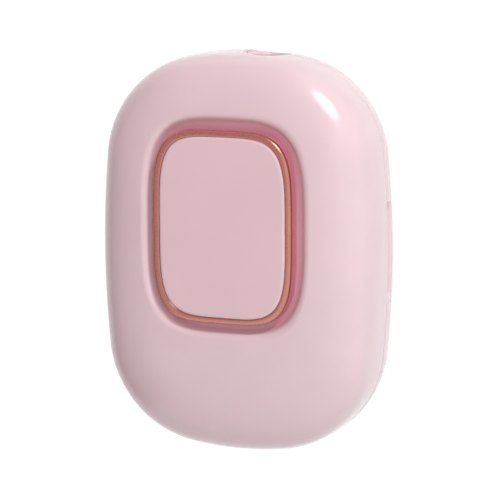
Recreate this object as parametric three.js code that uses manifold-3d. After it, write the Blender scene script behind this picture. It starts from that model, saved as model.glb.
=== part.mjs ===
// A pocket sanitizer case for the head of a toothbrush: a pebble-shaped box in two halves, hinged on its left
// side, that closes round the brush's neck. The front half is the lid. It carries the lamps, the board and the
// large front panel that switches them on, and the rear half lies on its flat back.
// Millimetres. The origin is the middle of the flat back, +Z comes out of the front panel, +Y points to the end
// with the neck opening, and +X to the side with the finger scoop.

import * as THREE from "three";
import { mergeVertices } from "three/addons/utils/BufferGeometryUtils.js";
import Module from "manifold-3d";

const wasm = await Module();
wasm.setup();

// Housing
const caseWidth = 72.6;
const caseHeight = 100;
const sideRadius = 260;
const endRadius = 81;
const cornerRadius = 26.7;
const frontDepth = 18.7;
const frontFullness = 4.6;
const rearDepth = 18.5;
const rearCrownDepth = 20;
const rearFullness = 2.42;
const wall = 2;
const partingGap = 0.3;

// Clearances and overruns
const seatGap = 0.3;
const runningGap = 0.4;
const overrun = 3;
const weld = 0.001;

// Well in the front face, measured at its rim
const wellSideBorder = 13.7;
const wellTopBorder = 13.4;
const wellLowerBorder = 29.8;
const wellExponent = 3.6;
const wellDepth = 3.2;
const wellSteepness = 65;
const wellEdgeRound = 2.2;
const wellFloorFillet = 1.2;

// Rose-gold ring
const bezelSideBorder = 4.2;
const bezelEndBorder = 4.35;
const bezelExponent = 4.165;
const bezelWidth = 1.9;
const bezelRound = 0.7;
const bezelProud = 0.9;

// Front panel, its plunger and its guide posts
const panelGap = 0.3;
const panelProud = 1;
const panelThickness = 1.6;
const panelEdge = 0.35;
const panelTravel = 0.8;
const panelSkirt = 1.2;
const plungerRadius = 3;
const postRadius = 1.3;
const postSpacing = 30;
const barbRadius = 1.9;
const barbHeight = 1.2;
const sealRadius = 5.4;
const sealThickness = 0.7;

// Hinge on the left side
const knuckleRadius = 1.6;
const pinRadius = 0.6;
const pinClearance = 0.25;
const hingeHalfLength = 17.5;
const grooveHalfLength = 26.4;
const knuckleCount = 5;
const hingeBlockDepth = 2.2;
const hingeBlockHeight = 4;
const lidSwing = 110;
const swingSpare = 4;

// Finger scoop on the right side of the rear half
const scoopLength = 25.6;
const scoopHeight = 4.2;
const scoopDepth = 1.4;
const scoopCorner = 2.6;
const scoopWall = 1.6;
const scoopCentreY = 0.9;

// Neck opening and its soft collar
const neckX = 5;
const neckRadius = 5;
const neckFlare = 0.8;
const collarBore = 4;
const collarRadius = 6.6;
const collarLength = 3.8;
const collarLip = 0.6;
const neckBossRadius = 8.7;

// Chamber and its liners
const chamberSideInset = 12.3;
const chamberEndInset = 13;
const chamberCentreY = 0.5;
const chamberExponent = 3.1;
const linerWall = 1.2;
const rimHeight = 2.2;
const rimGap = 0.8;
const flangeInset = 1;
const flangeBelowParting = 0.3;
const chamberFloor = 6.2;
const floorFillet = 6.8;
const ceilingHeight = 5;
const ceilingFillet = 2.5;
const ribHeight = 0.9;
const ribWidth = 1.6;
const ribCount = 5;
const ribPitch = 10;
const ribHalfLength = 13;

// Liner screws
const linerScrewSideInset = 12.1;
const linerScrewEndInset = 14.6;
const screwRadius = 0.8;
const screwHeadRadius = 1.6;
const screwHeadHeight = 0.6;
const screwSink = 0.8;
const screwLength = 6;
const bossRadius = 2.4;

// Magnets
const magnetInset = 6.7;
const magnetY = 16;
const magnetRadius = 2;
const magnetThickness = 1.7;
const magnetCupWall = 0.6;

// Lamp window
const windowHalfWidth = 10;
const windowHalfHeight = 4;
const windowCentreY = 5;
const windowLedge = 1.2;
const windowThickness = 0.8;
const lampSize = 3.5;
const lampHeight = 1;
const lampSpacing = 11;

// Board and what it carries
const boardSideInset = 4;
const boardTopInset = 21;
const boardLowerInset = 6;
const boardExponent = 4;
const boardThickness = 1.2;
const standoffSideInset = 6;
const standoffTopInset = 7;
const standoffLowerInset = 25;
const standoffRadius = 2.2;
const boardScrewLength = 3.2;
const switchSize = 6.2;
const switchHeight = 2.2;
const switchBase = 0.6;
const stemRadius = 1.5;
const chipHeight = 0.9;
const batteryWidth = 32;
const batteryThickness = 3.6;
const batteryRound = 1.2;
const batteryLowerInset = 13.4;
const batteryGapToWell = 0.9;

// Charging socket in the lower end
const socketWidth = 8.94;
const socketHeight = 3.16;
const socketLength = 7.4;
const socketShell = 0.3;
const socketRecess = 0.7;
const socketBack = 1.2;
const tongueWidth = 6.6;
const tongueHeight = 0.7;
const tongueShort = 0.9;

// Facets
const outerSteps = 56;
const faceSteps = 44;
const innerSteps = 36;
const outerRings = 10;
const innerRings = 6;
const roundSteps = 20;
const smallSteps = 10;
const arcSteps = 3;

// Places that follow from the sizes
const halfWidth = caseWidth / 2;
const halfHeight = caseHeight / 2;
const partingZ = rearDepth;
const frontRimZ = partingZ + partingGap / 2;
const rearRimZ = partingZ - partingGap / 2;
const crownZ = partingZ + frontDepth;
const wellHalfWidth = halfWidth - wellSideBorder;
const wellHalfHeight = (caseHeight - wellTopBorder - wellLowerBorder) / 2;
const wellCentreY = (wellLowerBorder - wellTopBorder) / 2;
const wellFloorZ = crownZ - wellDepth;
const wellUndersideZ = wellFloorZ - wall;
const bezelHalfWidth = wellHalfWidth - bezelSideBorder - bezelWidth;
const bezelHalfHeight = wellHalfHeight - bezelEndBorder - bezelWidth;
const hingeX = -(halfWidth - knuckleRadius);
const innerHalfWidth = halfWidth - wall;
const innerHalfHeight = halfHeight - wall;
const chamberHalfWidth = halfWidth - chamberSideInset;
const chamberHalfHeight = halfHeight - chamberEndInset;
const rearFlangeZ = partingZ - flangeBelowParting;
const frontFlangeZ = partingZ + flangeBelowParting;
const lidChamberHalfWidth = chamberHalfWidth + linerWall + rimGap;
const lidChamberHalfHeight = chamberHalfHeight + linerWall + rimGap;
const ceilingZ = partingZ + ceilingHeight;
const ceilingTopZ = ceilingZ + linerWall;
const windowZ = ceilingTopZ + seatGap;
const lampTopZ = windowZ + windowThickness + seatGap + lampHeight;
const boardZ = lampTopZ + seatGap;
const boardTopZ = boardZ + boardThickness;
const boardHalfWidth = chamberHalfWidth - boardSideInset;
const boardHalfLength = (caseHeight - boardTopInset - boardLowerInset) / 2;
const boardCentreY = (boardLowerInset - boardTopInset) / 2;
const switchZ = boardTopZ + seatGap;
const switchTopZ = switchZ + switchHeight;
const plungerZ = wellUndersideZ + seatGap / 2;
const stemTopZ = plungerZ - seatGap;
const stemBottomZ = switchZ + switchBase + panelTravel + seatGap / 2;
const collarY = halfHeight - wall - seatGap - collarLength;
const neckBossY = collarY - seatGap;
const socketTopZ = boardZ - seatGap;
const socketZ = socketTopZ - socketHeight / 2;

// Materials
const finish = (color, roughness, metalness = 0) =>
  new THREE.MeshStandardMaterial({ color, roughness, metalness });
const shellPink = finish(0xe6c8cd, 0.32);
const panelPink = finish(0xdcbfc4, 0.4);
const roseGold = finish(0xc48a76, 0.25, 1);
const linerSilver = finish(0xd4d6da, 0.2, 1);
const softPink = finish(0xd9adb5, 0.7);
const steel = finish(0xb9bcc0, 0.3, 1);
const quartz = finish(0xdfe9f2, 0.05);
const boardGreen = finish(0x2f6b4a, 0.5);
const lampCeramic = finish(0xe8e4d8, 0.4);
const switchBlack = finish(0x26262a, 0.5);
const cellSilver = finish(0xb4b8bd, 0.35, 0.6);

// A closed geometry as a solid: its shared corners are merged and its flat triangles dropped.
function solid(geometry) {
  const bare = new THREE.BufferGeometry().setAttribute("position", geometry.attributes.position);
  if (geometry.index) bare.setIndex(geometry.index);
  const merged = mergeVertices(bare, weld);
  const corners = merged.index.array;
  const kept = [];
  for (let i = 0; i < corners.length; i += 3) {
    const [a, b, c] = corners.subarray(i, i + 3);
    if (a !== b && b !== c && c !== a) kept.push(a, b, c);
  }
  const vertProperties = new Float32Array(merged.attributes.position.array);
  return new wasm.Manifold(new wasm.Mesh({ numProp: 3, vertProperties, triVerts: new Uint32Array(kept) }));
}

// An oval with flattened sides: gives its point at a turn, when it is grown by a distance.
function oval(halfX, halfY, exponent, centreY) {
  return (turn, grow) => {
    const cosine = Math.cos(turn);
    const sine = Math.sin(turn);
    const reach = (Math.abs(cosine) ** exponent + Math.abs(sine) ** exponent) ** (-1 / exponent);
    return [(halfX + grow) * reach * cosine, centreY + (halfY + grow) * reach * sine];
  };
}

// The case's outline is a row of arcs that run smoothly into each other: two sides, two ends and four corners.
const sideCentre = new THREE.Vector2(halfWidth - sideRadius, 0);
const endCentre = new THREE.Vector2(0, halfHeight - endRadius);
const cornerCentre = meeting(sideCentre, sideRadius - cornerRadius, endCentre, endRadius - cornerRadius);

// The point at a distance from each of two centres, on the left of the way from one to the other.
function meeting(first, fromFirst, second, fromSecond) {
  const way = second.clone().sub(first);
  const apart = way.length();
  const along = (fromFirst ** 2 - fromSecond ** 2 + apart ** 2) / (2 * apart);
  const across = Math.sqrt(fromFirst ** 2 - along ** 2);
  const aside = new THREE.Vector2(-way.y, way.x).setLength(across);
  return way.setLength(along).add(first).add(aside);
}

// The direction in which the corner's arc touches the arc round another centre.
function touch(centre, inset) {
  const reach = cornerCentre.clone().sub(centre).setLength(cornerRadius - inset);
  return cornerCentre.clone().add(reach).angle();
}

// How far the outline lies from the middle in a direction, when it is drawn in by an inset.
function caseReach(direction, inset) {
  const cosine = Math.abs(Math.cos(direction));
  const sine = Math.abs(Math.sin(direction));
  const leaning = Math.atan2(sine, cosine);
  let centre = cornerCentre;
  let radius = cornerRadius;
  if (leaning < touch(sideCentre, inset)) [centre, radius] = [sideCentre, sideRadius];
  if (leaning > touch(endCentre, inset)) [centre, radius] = [endCentre, endRadius];
  const beside = centre.x * sine - centre.y * cosine;
  return centre.x * cosine + centre.y * sine + Math.sqrt((radius - inset) ** 2 - beside ** 2);
}

// The outline as a function like the ovals.
function caseOutline(turn, grow) {
  const direction = Math.atan2(halfHeight * Math.sin(turn), halfWidth * Math.cos(turn));
  const reach = caseReach(direction, -grow);
  return [reach * Math.cos(direction), reach * Math.sin(direction)];
}

// An upright plate with an outline.
function plate(outline, grow, bottom, top, steps = innerSteps) {
  const points = Array.from({ length: steps }, (_, i) =>
    new THREE.Vector2(...outline((2 * Math.PI * i) / steps, grow)));
  const slab = new THREE.ExtrudeGeometry(new THREE.Shape(points), {
    depth: top - bottom,
    bevelEnabled: false,
  });
  return solid(slab.translate(0, 0, bottom));
}

// A profile of radius and height, turned about an upright axis. Each of its circles is laid on the outline that
// spot gives for its radius.
function turned(profile, spot, centreY, steps) {
  const points = profile.map(([radius, height]) => new THREE.Vector2(radius, height));
  const lathe = new THREE.LatheGeometry(points, steps).rotateX(Math.PI / 2);
  const place = lathe.attributes.position;
  for (let i = 0; i < place.count; i++) {
    const radius = Math.hypot(place.getX(i), place.getY(i));
    const turn = Math.atan2(place.getY(i), place.getX(i));
    place.setXY(i, ...(radius === 0 ? [0, centreY] : spot(turn, radius)));
  }
  return solid(lathe);
}

// A profile turned round an oval, to which its circles keep their distance.
function turnedOval(profile, halfX, halfY, exponent, centreY, steps) {
  const outline = oval(halfX, halfY, exponent, centreY);
  return turned(profile, (turn, radius) => outline(turn, radius - halfX), centreY, steps);
}

// The curve from a dome's rim to its crown.
function domeCurve(halfX, depth, fullness, side, rings) {
  return Array.from({ length: rings }, (_, i) => {
    const angle = ((i + 1) / rings) * (Math.PI / 2);
    const radius = i + 1 === rings ? 0 : halfX * Math.cos(angle) ** (2 / fullness);
    return [radius, partingZ + side * depth * Math.sin(angle) ** (2 / fullness)];
  });
}

// Half a pebble: from a flat rim to its crown, up for the front and down for the rear. Its rings keep the
// outline's proportions.
function halfPebble(inset, depth, fullness, side, rimZ, steps, rings) {
  const halfX = halfWidth - inset;
  const profile = [[0, rimZ], [halfX, rimZ], ...domeCurve(halfX, depth, fullness, side, rings)];
  if (side < 0) profile.reverse();
  const spot = (turn, radius) => caseOutline(turn, -inset).map((place) => (place * radius) / halfX);
  return turned(profile, spot, 0, steps);
}

function rearPebble(inset, rimZ, steps, rings) {
  return halfPebble(inset, rearCrownDepth - inset, rearFullness, -1, rimZ, steps, rings);
}

function frontPebble(inset, rimZ, steps, rings) {
  return halfPebble(inset, frontDepth - inset, frontFullness, 1, rimZ, steps, rings);
}

// The height of the front face over a point.
function faceHeight(x, y) {
  const level = Math.hypot(x, y) / caseReach(Math.atan2(y, x), 0);
  return partingZ + frontDepth * (1 - level ** frontFullness) ** (1 / frontFullness);
}

// The points of a quarter circle round a centre, from one angle to the other.
function arc(centreRadius, centreHeight, radius, from, to) {
  return Array.from({ length: arcSteps + 1 }, (_, i) => {
    const angle = from + ((to - from) * i) / arcSteps;
    return [centreRadius + radius * Math.cos(angle), centreHeight + radius * Math.sin(angle)];
  });
}

const quarter = Math.PI / 2;

function box(left, right, near, far, bottom, top) {
  const block = new THREE.BoxGeometry(right - left, far - near, top - bottom);
  return solid(block.translate((left + right) / 2, (near + far) / 2, (bottom + top) / 2));
}

function upright(radius, x, y, bottom, top, steps = smallSteps) {
  const rod = new THREE.CylinderGeometry(radius, radius, top - bottom, steps).rotateX(quarter);
  return solid(rod.translate(x, y, (bottom + top) / 2));
}

function lengthwise(radius, x, z, near, far, steps = roundSteps) {
  const rod = new THREE.CylinderGeometry(radius, radius, far - near, steps);
  return solid(rod.translate(x, (near + far) / 2, z));
}

function joined(solids) {
  return solids.reduce((whole, piece) => whole.add(piece));
}

const group = new THREE.Group();

function piece(name, made, material) {
  const { vertProperties, triVerts } = made.getMesh();
  const geometry = new THREE.BufferGeometry();
  geometry.setAttribute("position", new THREE.BufferAttribute(vertProperties, 3));
  geometry.setIndex(new THREE.BufferAttribute(triVerts, 1));
  geometry.computeVertexNormals();
  const mesh = new THREE.Mesh(geometry, material);
  mesh.name = name;
  group.add(mesh);
}

// The neck opening, which both halves share: a bore that flares out at the top end.
function neckBore() {
  const mouth = halfHeight;
  const profile = [
    [0, neckBossY - overrun],
    [neckRadius, neckBossY - overrun],
    ...arc(neckRadius + neckFlare, mouth - neckFlare, neckFlare, Math.PI, quarter),
    [neckRadius + neckFlare, mouth + overrun],
    [0, mouth + overrun],
  ].map(([radius, height]) => new THREE.Vector2(radius, height));
  return solid(new THREE.LatheGeometry(profile, roundSteps).translate(neckX, 0, partingZ));
}

// The seat of the soft collar, cut into the thick wall behind the opening.
function neckSeat() {
  const seat = lengthwise(collarRadius + seatGap, neckX, partingZ, collarY - seatGap / 2, innerHalfHeight);
  const mouth = lengthwise(collarRadius - collarLip, neckX, partingZ, neckBossY - overrun, innerHalfHeight);
  return seat.add(mouth);
}

// What the hinge needs on each half: a thick block inside the wall, its own knuckles, and room for the others.
const knuckleLength = (2 * hingeHalfLength) / knuckleCount;

function knuckleStart(index) {
  return -hingeHalfLength + index * knuckleLength;
}

function hinged(shell, outer, isLid) {
  const side = isLid ? 1 : -1;
  const rimZ = isLid ? frontRimZ : rearRimZ;
  const inner = hingeX + knuckleRadius + hingeBlockDepth - wall / 2;
  const deep = partingZ + side * hingeBlockHeight;
  const block = box(-halfWidth, inner, -grooveHalfLength, grooveHalfLength,
    Math.min(rimZ, deep), Math.max(rimZ, deep)).intersect(outer);
  const wedge = new THREE.Shape();
  const reach = knuckleRadius + overrun;
  const opening = THREE.MathUtils.degToRad((lidSwing + swingSpare) / 2);
  wedge.moveTo(0, 0);
  wedge.lineTo(-reach, reach * Math.tan(opening));
  wedge.lineTo(-reach, -reach * Math.tan(opening));
  wedge.closePath();
  const length = 2 * grooveHalfLength;
  const groove = new THREE.ExtrudeGeometry(wedge, { depth: length, bevelEnabled: false });
  groove.rotateX(quarter).translate(hingeX, length / 2, partingZ);
  let made = shell.add(block).subtract(solid(groove));
  for (let i = 0; i < knuckleCount; i++) {
    const near = knuckleStart(i);
    const far = near + knuckleLength;
    const isOwn = (i % 2 === 1) === isLid;
    if (isOwn) {
      const barrel = lengthwise(knuckleRadius, hingeX, partingZ, near + runningGap / 2, far - runningGap / 2);
      made = made.add(barrel);
    } else {
      const room = lengthwise(knuckleRadius + runningGap, hingeX, partingZ,
        near - runningGap / 2, far + runningGap / 2);
      made = made.subtract(room);
    }
  }
  return made.subtract(lengthwise(pinRadius + pinClearance, hingeX, partingZ,
    -hingeHalfLength - overrun, hingeHalfLength + overrun, smallSteps));
}

// The finger scoop's slot, grown by a margin: it hangs from the parting line, has two round lower corners, and
// is as deep as the case's outer face drawn in by an inset.
function scoopSlot(grow, inset) {
  const half = scoopLength / 2 + grow;
  const bottom = rearRimZ - scoopHeight - grow;
  const round = scoopCorner + grow;
  const outline = new THREE.Shape();
  outline.moveTo(scoopCentreY + half, rearRimZ + overrun);
  outline.lineTo(scoopCentreY - half, rearRimZ + overrun);
  outline.absarc(scoopCentreY - half + round, bottom + round, round, Math.PI, 3 * quarter);
  outline.absarc(scoopCentreY + half - round, bottom + round, round, 3 * quarter, 4 * quarter);
  outline.closePath();
  const bar = new THREE.ExtrudeGeometry(outline, {
    depth: caseWidth,
    bevelEnabled: false,
    curveSegments: arcSteps,
  });
  const turn = new THREE.Matrix4().makeBasis(new THREE.Vector3(0, 1, 0), new THREE.Vector3(0, 0, 1),
    new THREE.Vector3(1, 0, 0));
  return solid(bar.applyMatrix4(turn)).subtract(rearPebble(inset, rearRimZ + caseHeight, outerSteps, outerRings));
}

const linerScrewX = halfWidth - linerScrewSideInset;
const linerScrewY = halfHeight - linerScrewEndInset;
const screwPlaces = [-1, 1].flatMap((across) =>
  [-1, 1].map((along) => [across * linerScrewX, along * linerScrewY]));
const magnetPlaces = [-magnetY, magnetY].map((y) => [halfWidth - magnetInset, y]);

// Rear half: a deep bowl with a flat back.
function rearShell() {
  const outer = rearPebble(0, rearRimZ, outerSteps, outerRings)
    .intersect(box(-caseWidth, caseWidth, -caseHeight, caseHeight, 0, caseHeight));
  const hollow = rearPebble(wall, rearRimZ + overrun, innerSteps, innerRings)
    .intersect(box(-caseWidth, caseWidth, -caseHeight, caseHeight, wall, caseHeight));
  const bossTop = rearFlangeZ - linerWall - seatGap;
  const bosses = joined(screwPlaces.map(([x, y]) =>
    upright(bossRadius, x, y, wall / 2, bossTop))).intersect(outer);
  const neckBoss = lengthwise(neckBossRadius, neckX, partingZ, neckBossY, halfHeight).intersect(outer);
  const scoopBacking = scoopSlot(scoopWall, scoopDepth + scoopWall).intersect(outer);
  let shell = outer.subtract(hollow);
  shell = shell.add(bosses).add(neckBoss).add(scoopBacking);
  shell = hinged(shell, outer, false);
  shell = shell.subtract(scoopSlot(0, scoopDepth)).subtract(neckBore()).subtract(neckSeat());
  const bores = screwPlaces.map(([x, y]) =>
    upright(screwRadius + seatGap, x, y, bossTop - screwLength, bossTop + overrun));
  return shell.subtract(joined(bores));
}

// Front half: the lid, with the well for the panel in its face.
const steepness = THREE.MathUtils.degToRad(wellSteepness);
const wellBend = wellEdgeRound + wellFloorFillet;
const wellSlope = (wellDepth - wellBend * (1 - Math.cos(steepness))) / Math.tan(steepness);
const wellFloorHalfWidth = wellHalfWidth - wellBend * Math.sin(steepness) - wellSlope;
const wellFloorHalfHeight = wellFloorHalfWidth + wellHalfHeight - wellHalfWidth;

// The well's side is an S: round at the rim and in the floor's corner, with a straight slope between. Its rim
// lies on the front face, and the side gets shallower where the face falls away.
function wellCut() {
  const profile = [
    [0, wellFloorZ],
    ...arc(wellFloorHalfWidth, wellFloorZ + wellFloorFillet, wellFloorFillet, -quarter, steepness - quarter),
    ...arc(wellHalfWidth, crownZ - wellEdgeRound, wellEdgeRound, quarter + steepness, quarter),
    [wellHalfWidth, crownZ + overrun],
    [0, crownZ + overrun],
  ];
  const cut = turnedOval(profile, wellHalfWidth, wellHalfHeight, wellExponent, wellCentreY, faceSteps);
  const rim = oval(wellHalfWidth, wellHalfHeight, wellExponent, wellCentreY);
  return cut.warp((place) => {
    if (place[2] > crownZ || place[2] <= wellFloorZ) return;
    const turn = Math.atan2((place[1] - wellCentreY) / wellHalfHeight, place[0] / wellHalfWidth);
    const squash = (faceHeight(...rim(turn, 0)) - wellFloorZ) / wellDepth;
    place[2] = wellFloorZ + (place[2] - wellFloorZ) * squash;
  });
}

function frontShell() {
  const outer = frontPebble(0, frontRimZ, outerSteps, outerRings);
  const hollow = frontPebble(wall, frontRimZ - overrun, innerSteps, innerRings);
  const wellBlock = plate(oval(wellHalfWidth, wellHalfHeight, wellExponent, wellCentreY), 0,
    wellUndersideZ, crownZ).intersect(outer);
  const bossBottom = frontFlangeZ + linerWall + seatGap;
  const bosses = joined(screwPlaces.map(([x, y]) =>
    upright(bossRadius, x, y, bossBottom, crownZ - wall))).intersect(outer);
  const neckBoss = lengthwise(neckBossRadius, neckX, partingZ, neckBossY, halfHeight).intersect(outer);
  let shell = outer.subtract(hollow);
  shell = shell.add(wellBlock).add(bosses).add(neckBoss);
  shell = hinged(shell, outer, true);
  shell = shell.subtract(wellCut()).subtract(neckBore()).subtract(neckSeat());
  const bores = screwPlaces.map(([x, y]) =>
    upright(screwRadius + seatGap, x, y, bossBottom - overrun, bossBottom + screwLength));
  const posts = [-1, 1].map((side) =>
    upright(postRadius + seatGap, 0, wellCentreY + (side * postSpacing) / 2,
      wellUndersideZ - overrun, wellFloorZ + overrun));
  const plunger = upright(plungerRadius + runningGap, 0, wellCentreY,
    wellUndersideZ - overrun, wellFloorZ + overrun, roundSteps);
  const sealSeat = upright(sealRadius + seatGap, 0, wellCentreY,
    wellFloorZ - sealThickness - seatGap, wellFloorZ + overrun, roundSteps);
  const socketRoom = stadium(socketWidth + 2 * seatGap, socketHeight + 2 * seatGap,
    -halfHeight - overrun, -innerHalfHeight + overrun);
  return shell.subtract(joined([...bores, ...posts, plunger, sealSeat, socketRoom]));
}

// A bar with round ends that lies along Y at the charging socket's place.
function stadium(width, height, near, far) {
  const radius = height / 2;
  const reach = width / 2 - radius;
  const outline = new THREE.Shape();
  outline.moveTo(-reach, -radius);
  outline.lineTo(reach, -radius);
  outline.absarc(reach, 0, radius, -quarter, quarter);
  outline.lineTo(-reach, radius);
  outline.absarc(-reach, 0, radius, quarter, 3 * quarter);
  const bar = new THREE.ExtrudeGeometry(outline, {
    depth: far - near,
    bevelEnabled: false,
    curveSegments: smallSteps / 2,
  });
  return solid(bar.rotateX(quarter).translate(0, far, socketZ));
}

function bezelRing() {
  const bottom = wellFloorZ + seatGap;
  const top = crownZ + bezelProud;
  const outerRadius = bezelHalfWidth + bezelWidth;
  const profile = [
    [bezelHalfWidth, bottom],
    [outerRadius, bottom],
    ...arc(outerRadius - bezelRound, top - bezelRound, bezelRound, 0, quarter),
    ...arc(bezelHalfWidth + bezelRound, top - bezelRound, bezelRound, quarter, Math.PI),
  ];
  profile.push(profile[0]);
  return turnedOval(profile, bezelHalfWidth, bezelHalfHeight, bezelExponent, wellCentreY, faceSteps);
}

// The panel is a shallow tray with a plunger in the middle and two barbed posts that snap through the floor.
function buttonPanel() {
  const halfX = bezelHalfWidth - panelGap;
  const halfY = bezelHalfHeight - panelGap;
  const top = crownZ + panelProud;
  const skirtZ = top - panelThickness - panelSkirt + panelEdge;
  const skirtX = halfX - panelThickness;
  const profile = [
    [0, top - panelThickness],
    [skirtX, top - panelThickness],
    [skirtX, skirtZ],
    [halfX, skirtZ],
    ...arc(halfX - panelEdge, top - panelEdge, panelEdge, 0, quarter),
    [0, top],
  ];
  const tray = turnedOval(profile, halfX, halfY, bezelExponent, wellCentreY, faceSteps);
  const under = top - panelThickness / 2;
  const plunger = upright(plungerRadius, 0, wellCentreY, plungerZ, under, roundSteps);
  const barbTop = wellUndersideZ - seatGap;
  const posts = [-1, 1].flatMap((side) => {
    const y = wellCentreY + (side * postSpacing) / 2;
    const shank = upright(postRadius, 0, y, barbTop - barbHeight, under);
    const barb = new THREE.CylinderGeometry(barbRadius, postRadius, barbHeight, smallSteps).rotateX(quarter);
    return [shank, solid(barb.translate(0, y, barbTop - barbHeight / 2))];
  });
  return joined([tray, plunger, ...posts]);
}

function plungerSeal() {
  const bottom = wellFloorZ - sealThickness;
  return upright(sealRadius, 0, wellCentreY, bottom, wellFloorZ, roundSteps).subtract(
    upright(plungerRadius + seatGap, 0, wellCentreY, bottom - overrun, wellFloorZ + overrun, roundSteps));
}

// Liners: two thin bowls with a flange each, cut back round the hinge, the scoop and the neck.
function flange(bottom, top) {
  const hingeRoom = box(-caseWidth, hingeX + knuckleRadius + hingeBlockDepth - wall / 2 + seatGap,
    -grooveHalfLength - seatGap, grooveHalfLength + seatGap, bottom - overrun, top + overrun);
  return plate(caseOutline, -wall - flangeInset, bottom, top).subtract(hingeRoom);
}

function magnetCup(x, y, bottom, top) {
  return upright(magnetRadius + seatGap + magnetCupWall, x, y, bottom, top);
}

function neckRoom() {
  const behind = lengthwise(neckBossRadius + seatGap, neckX, partingZ, neckBossY - seatGap, caseHeight);
  return behind.add(lengthwise(collarRadius - collarLip, neckX, partingZ, 0, caseHeight));
}

function rearLiner() {
  const outerFillet = floorFillet + linerWall;
  const halfX = chamberHalfWidth + linerWall;
  const underside = chamberFloor - linerWall;
  const rimTop = rearFlangeZ + rimHeight;
  const bowl = turnedOval([
    [0, underside],
    ...arc(halfX - outerFillet, underside + outerFillet, outerFillet, -quarter, 0),
    [halfX, rimTop],
    [0, rimTop],
  ], halfX, chamberHalfHeight + linerWall, chamberExponent, chamberCentreY, innerSteps);
  const hollow = turnedOval([
    [0, chamberFloor],
    ...arc(chamberHalfWidth - floorFillet, chamberFloor + floorFillet, floorFillet, -quarter, 0),
    [chamberHalfWidth, rimTop + overrun],
    [0, rimTop + overrun],
  ], chamberHalfWidth, chamberHalfHeight, chamberExponent, chamberCentreY, innerSteps);
  const ribs = Array.from({ length: ribCount }, (_, i) => {
    const y = chamberCentreY + (i - (ribCount - 1) / 2) * ribPitch;
    return box(-ribHalfLength, ribHalfLength, y - ribWidth / 2, y + ribWidth / 2,
      chamberFloor - linerWall / 2, chamberFloor + ribHeight);
  });
  const flangeBottom = rearFlangeZ - linerWall;
  const cupBottom = flangeBottom - seatGap - magnetThickness;
  const cups = joined(magnetPlaces.map(([x, y]) => magnetCup(x, y, cupBottom, rearFlangeZ)));
  const magnetBores = joined(magnetPlaces.map(([x, y]) =>
    upright(magnetRadius + seatGap, x, y, cupBottom - overrun, flangeBottom)));
  const screwBores = joined(screwPlaces.flatMap(([x, y]) => [
    upright(screwRadius + seatGap, x, y, flangeBottom - overrun, rearFlangeZ + overrun),
    upright(screwHeadRadius + seatGap, x, y, rearFlangeZ - screwSink, rearFlangeZ + overrun),
  ]));
  const scoopRoom = scoopSlot(scoopWall + seatGap, scoopDepth + scoopWall + seatGap);
  const plateau = flange(flangeBottom, rearFlangeZ).subtract(scoopRoom);
  const liner = bowl.add(plateau).add(cups).subtract(hollow);
  return joined([liner, ...ribs]).subtract(magnetBores).subtract(screwBores).subtract(neckRoom());
}

function frontLiner() {
  const halfX = lidChamberHalfWidth + linerWall;
  const outerFillet = ceilingFillet + linerWall;
  const bowl = turnedOval([
    [0, frontFlangeZ],
    [halfX, frontFlangeZ],
    ...arc(halfX - outerFillet, ceilingTopZ - outerFillet, outerFillet, 0, quarter),
    [0, ceilingTopZ],
  ], halfX, lidChamberHalfHeight + linerWall, chamberExponent, chamberCentreY, innerSteps);
  const hollow = turnedOval([
    [0, frontFlangeZ - overrun],
    [lidChamberHalfWidth, frontFlangeZ - overrun],
    ...arc(lidChamberHalfWidth - ceilingFillet, ceilingZ - ceilingFillet, ceilingFillet, 0, quarter),
    [0, ceilingZ],
  ], lidChamberHalfWidth, lidChamberHalfHeight, chamberExponent, chamberCentreY, innerSteps);
  const flangeTop = frontFlangeZ + linerWall;
  const cupTop = flangeTop + seatGap + magnetThickness;
  const cups = joined(magnetPlaces.map(([x, y]) => magnetCup(x, y, frontFlangeZ, cupTop)));
  const magnetBores = joined(magnetPlaces.map(([x, y]) =>
    upright(magnetRadius + seatGap, x, y, flangeTop, cupTop + overrun)));
  const screwBores = joined(screwPlaces.flatMap(([x, y]) => [
    upright(screwRadius + seatGap, x, y, frontFlangeZ - overrun, flangeTop + overrun),
    upright(screwHeadRadius + seatGap, x, y, frontFlangeZ - overrun, frontFlangeZ + screwSink),
  ]));
  const kerb = box(-windowHalfWidth - windowLedge - seatGap - linerWall,
    windowHalfWidth + windowLedge + seatGap + linerWall,
    windowCentreY - windowHalfHeight - windowLedge - seatGap - linerWall,
    windowCentreY + windowHalfHeight + windowLedge + seatGap + linerWall,
    ceilingZ, windowZ + windowThickness);
  const plateRoom = box(-windowHalfWidth - windowLedge - seatGap, windowHalfWidth + windowLedge + seatGap,
    windowCentreY - windowHalfHeight - windowLedge - seatGap,
    windowCentreY + windowHalfHeight + windowLedge + seatGap,
    ceilingTopZ, windowZ + overrun);
  const opening = box(-windowHalfWidth, windowHalfWidth, windowCentreY - windowHalfHeight,
    windowCentreY + windowHalfHeight, ceilingZ - overrun, windowZ + overrun);
  const standoffs = standoffPlaces.map(([x, y]) =>
    upright(standoffRadius, x, y, ceilingTopZ - linerWall / 2, boardZ - seatGap));
  const standoffBores = joined(standoffPlaces.map(([x, y]) =>
    upright(screwRadius + seatGap, x, y, ceilingTopZ - linerWall / 2, boardZ)));
  const liner = bowl.add(flange(frontFlangeZ, flangeTop)).add(cups).subtract(hollow);
  return joined([liner, kerb, ...standoffs]).subtract(plateRoom).subtract(opening).subtract(standoffBores)
    .subtract(magnetBores).subtract(screwBores).subtract(neckRoom());
}

const standoffX = boardHalfWidth - standoffSideInset;
const standoffTopY = boardCentreY + boardHalfLength - standoffTopInset;
const standoffLowerY = boardCentreY - boardHalfLength + standoffLowerInset;
const standoffPlaces = [
  [standoffX, standoffTopY],
  [-standoffX, standoffTopY],
  [standoffX, standoffLowerY],
  [-standoffX, standoffLowerY],
];

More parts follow.
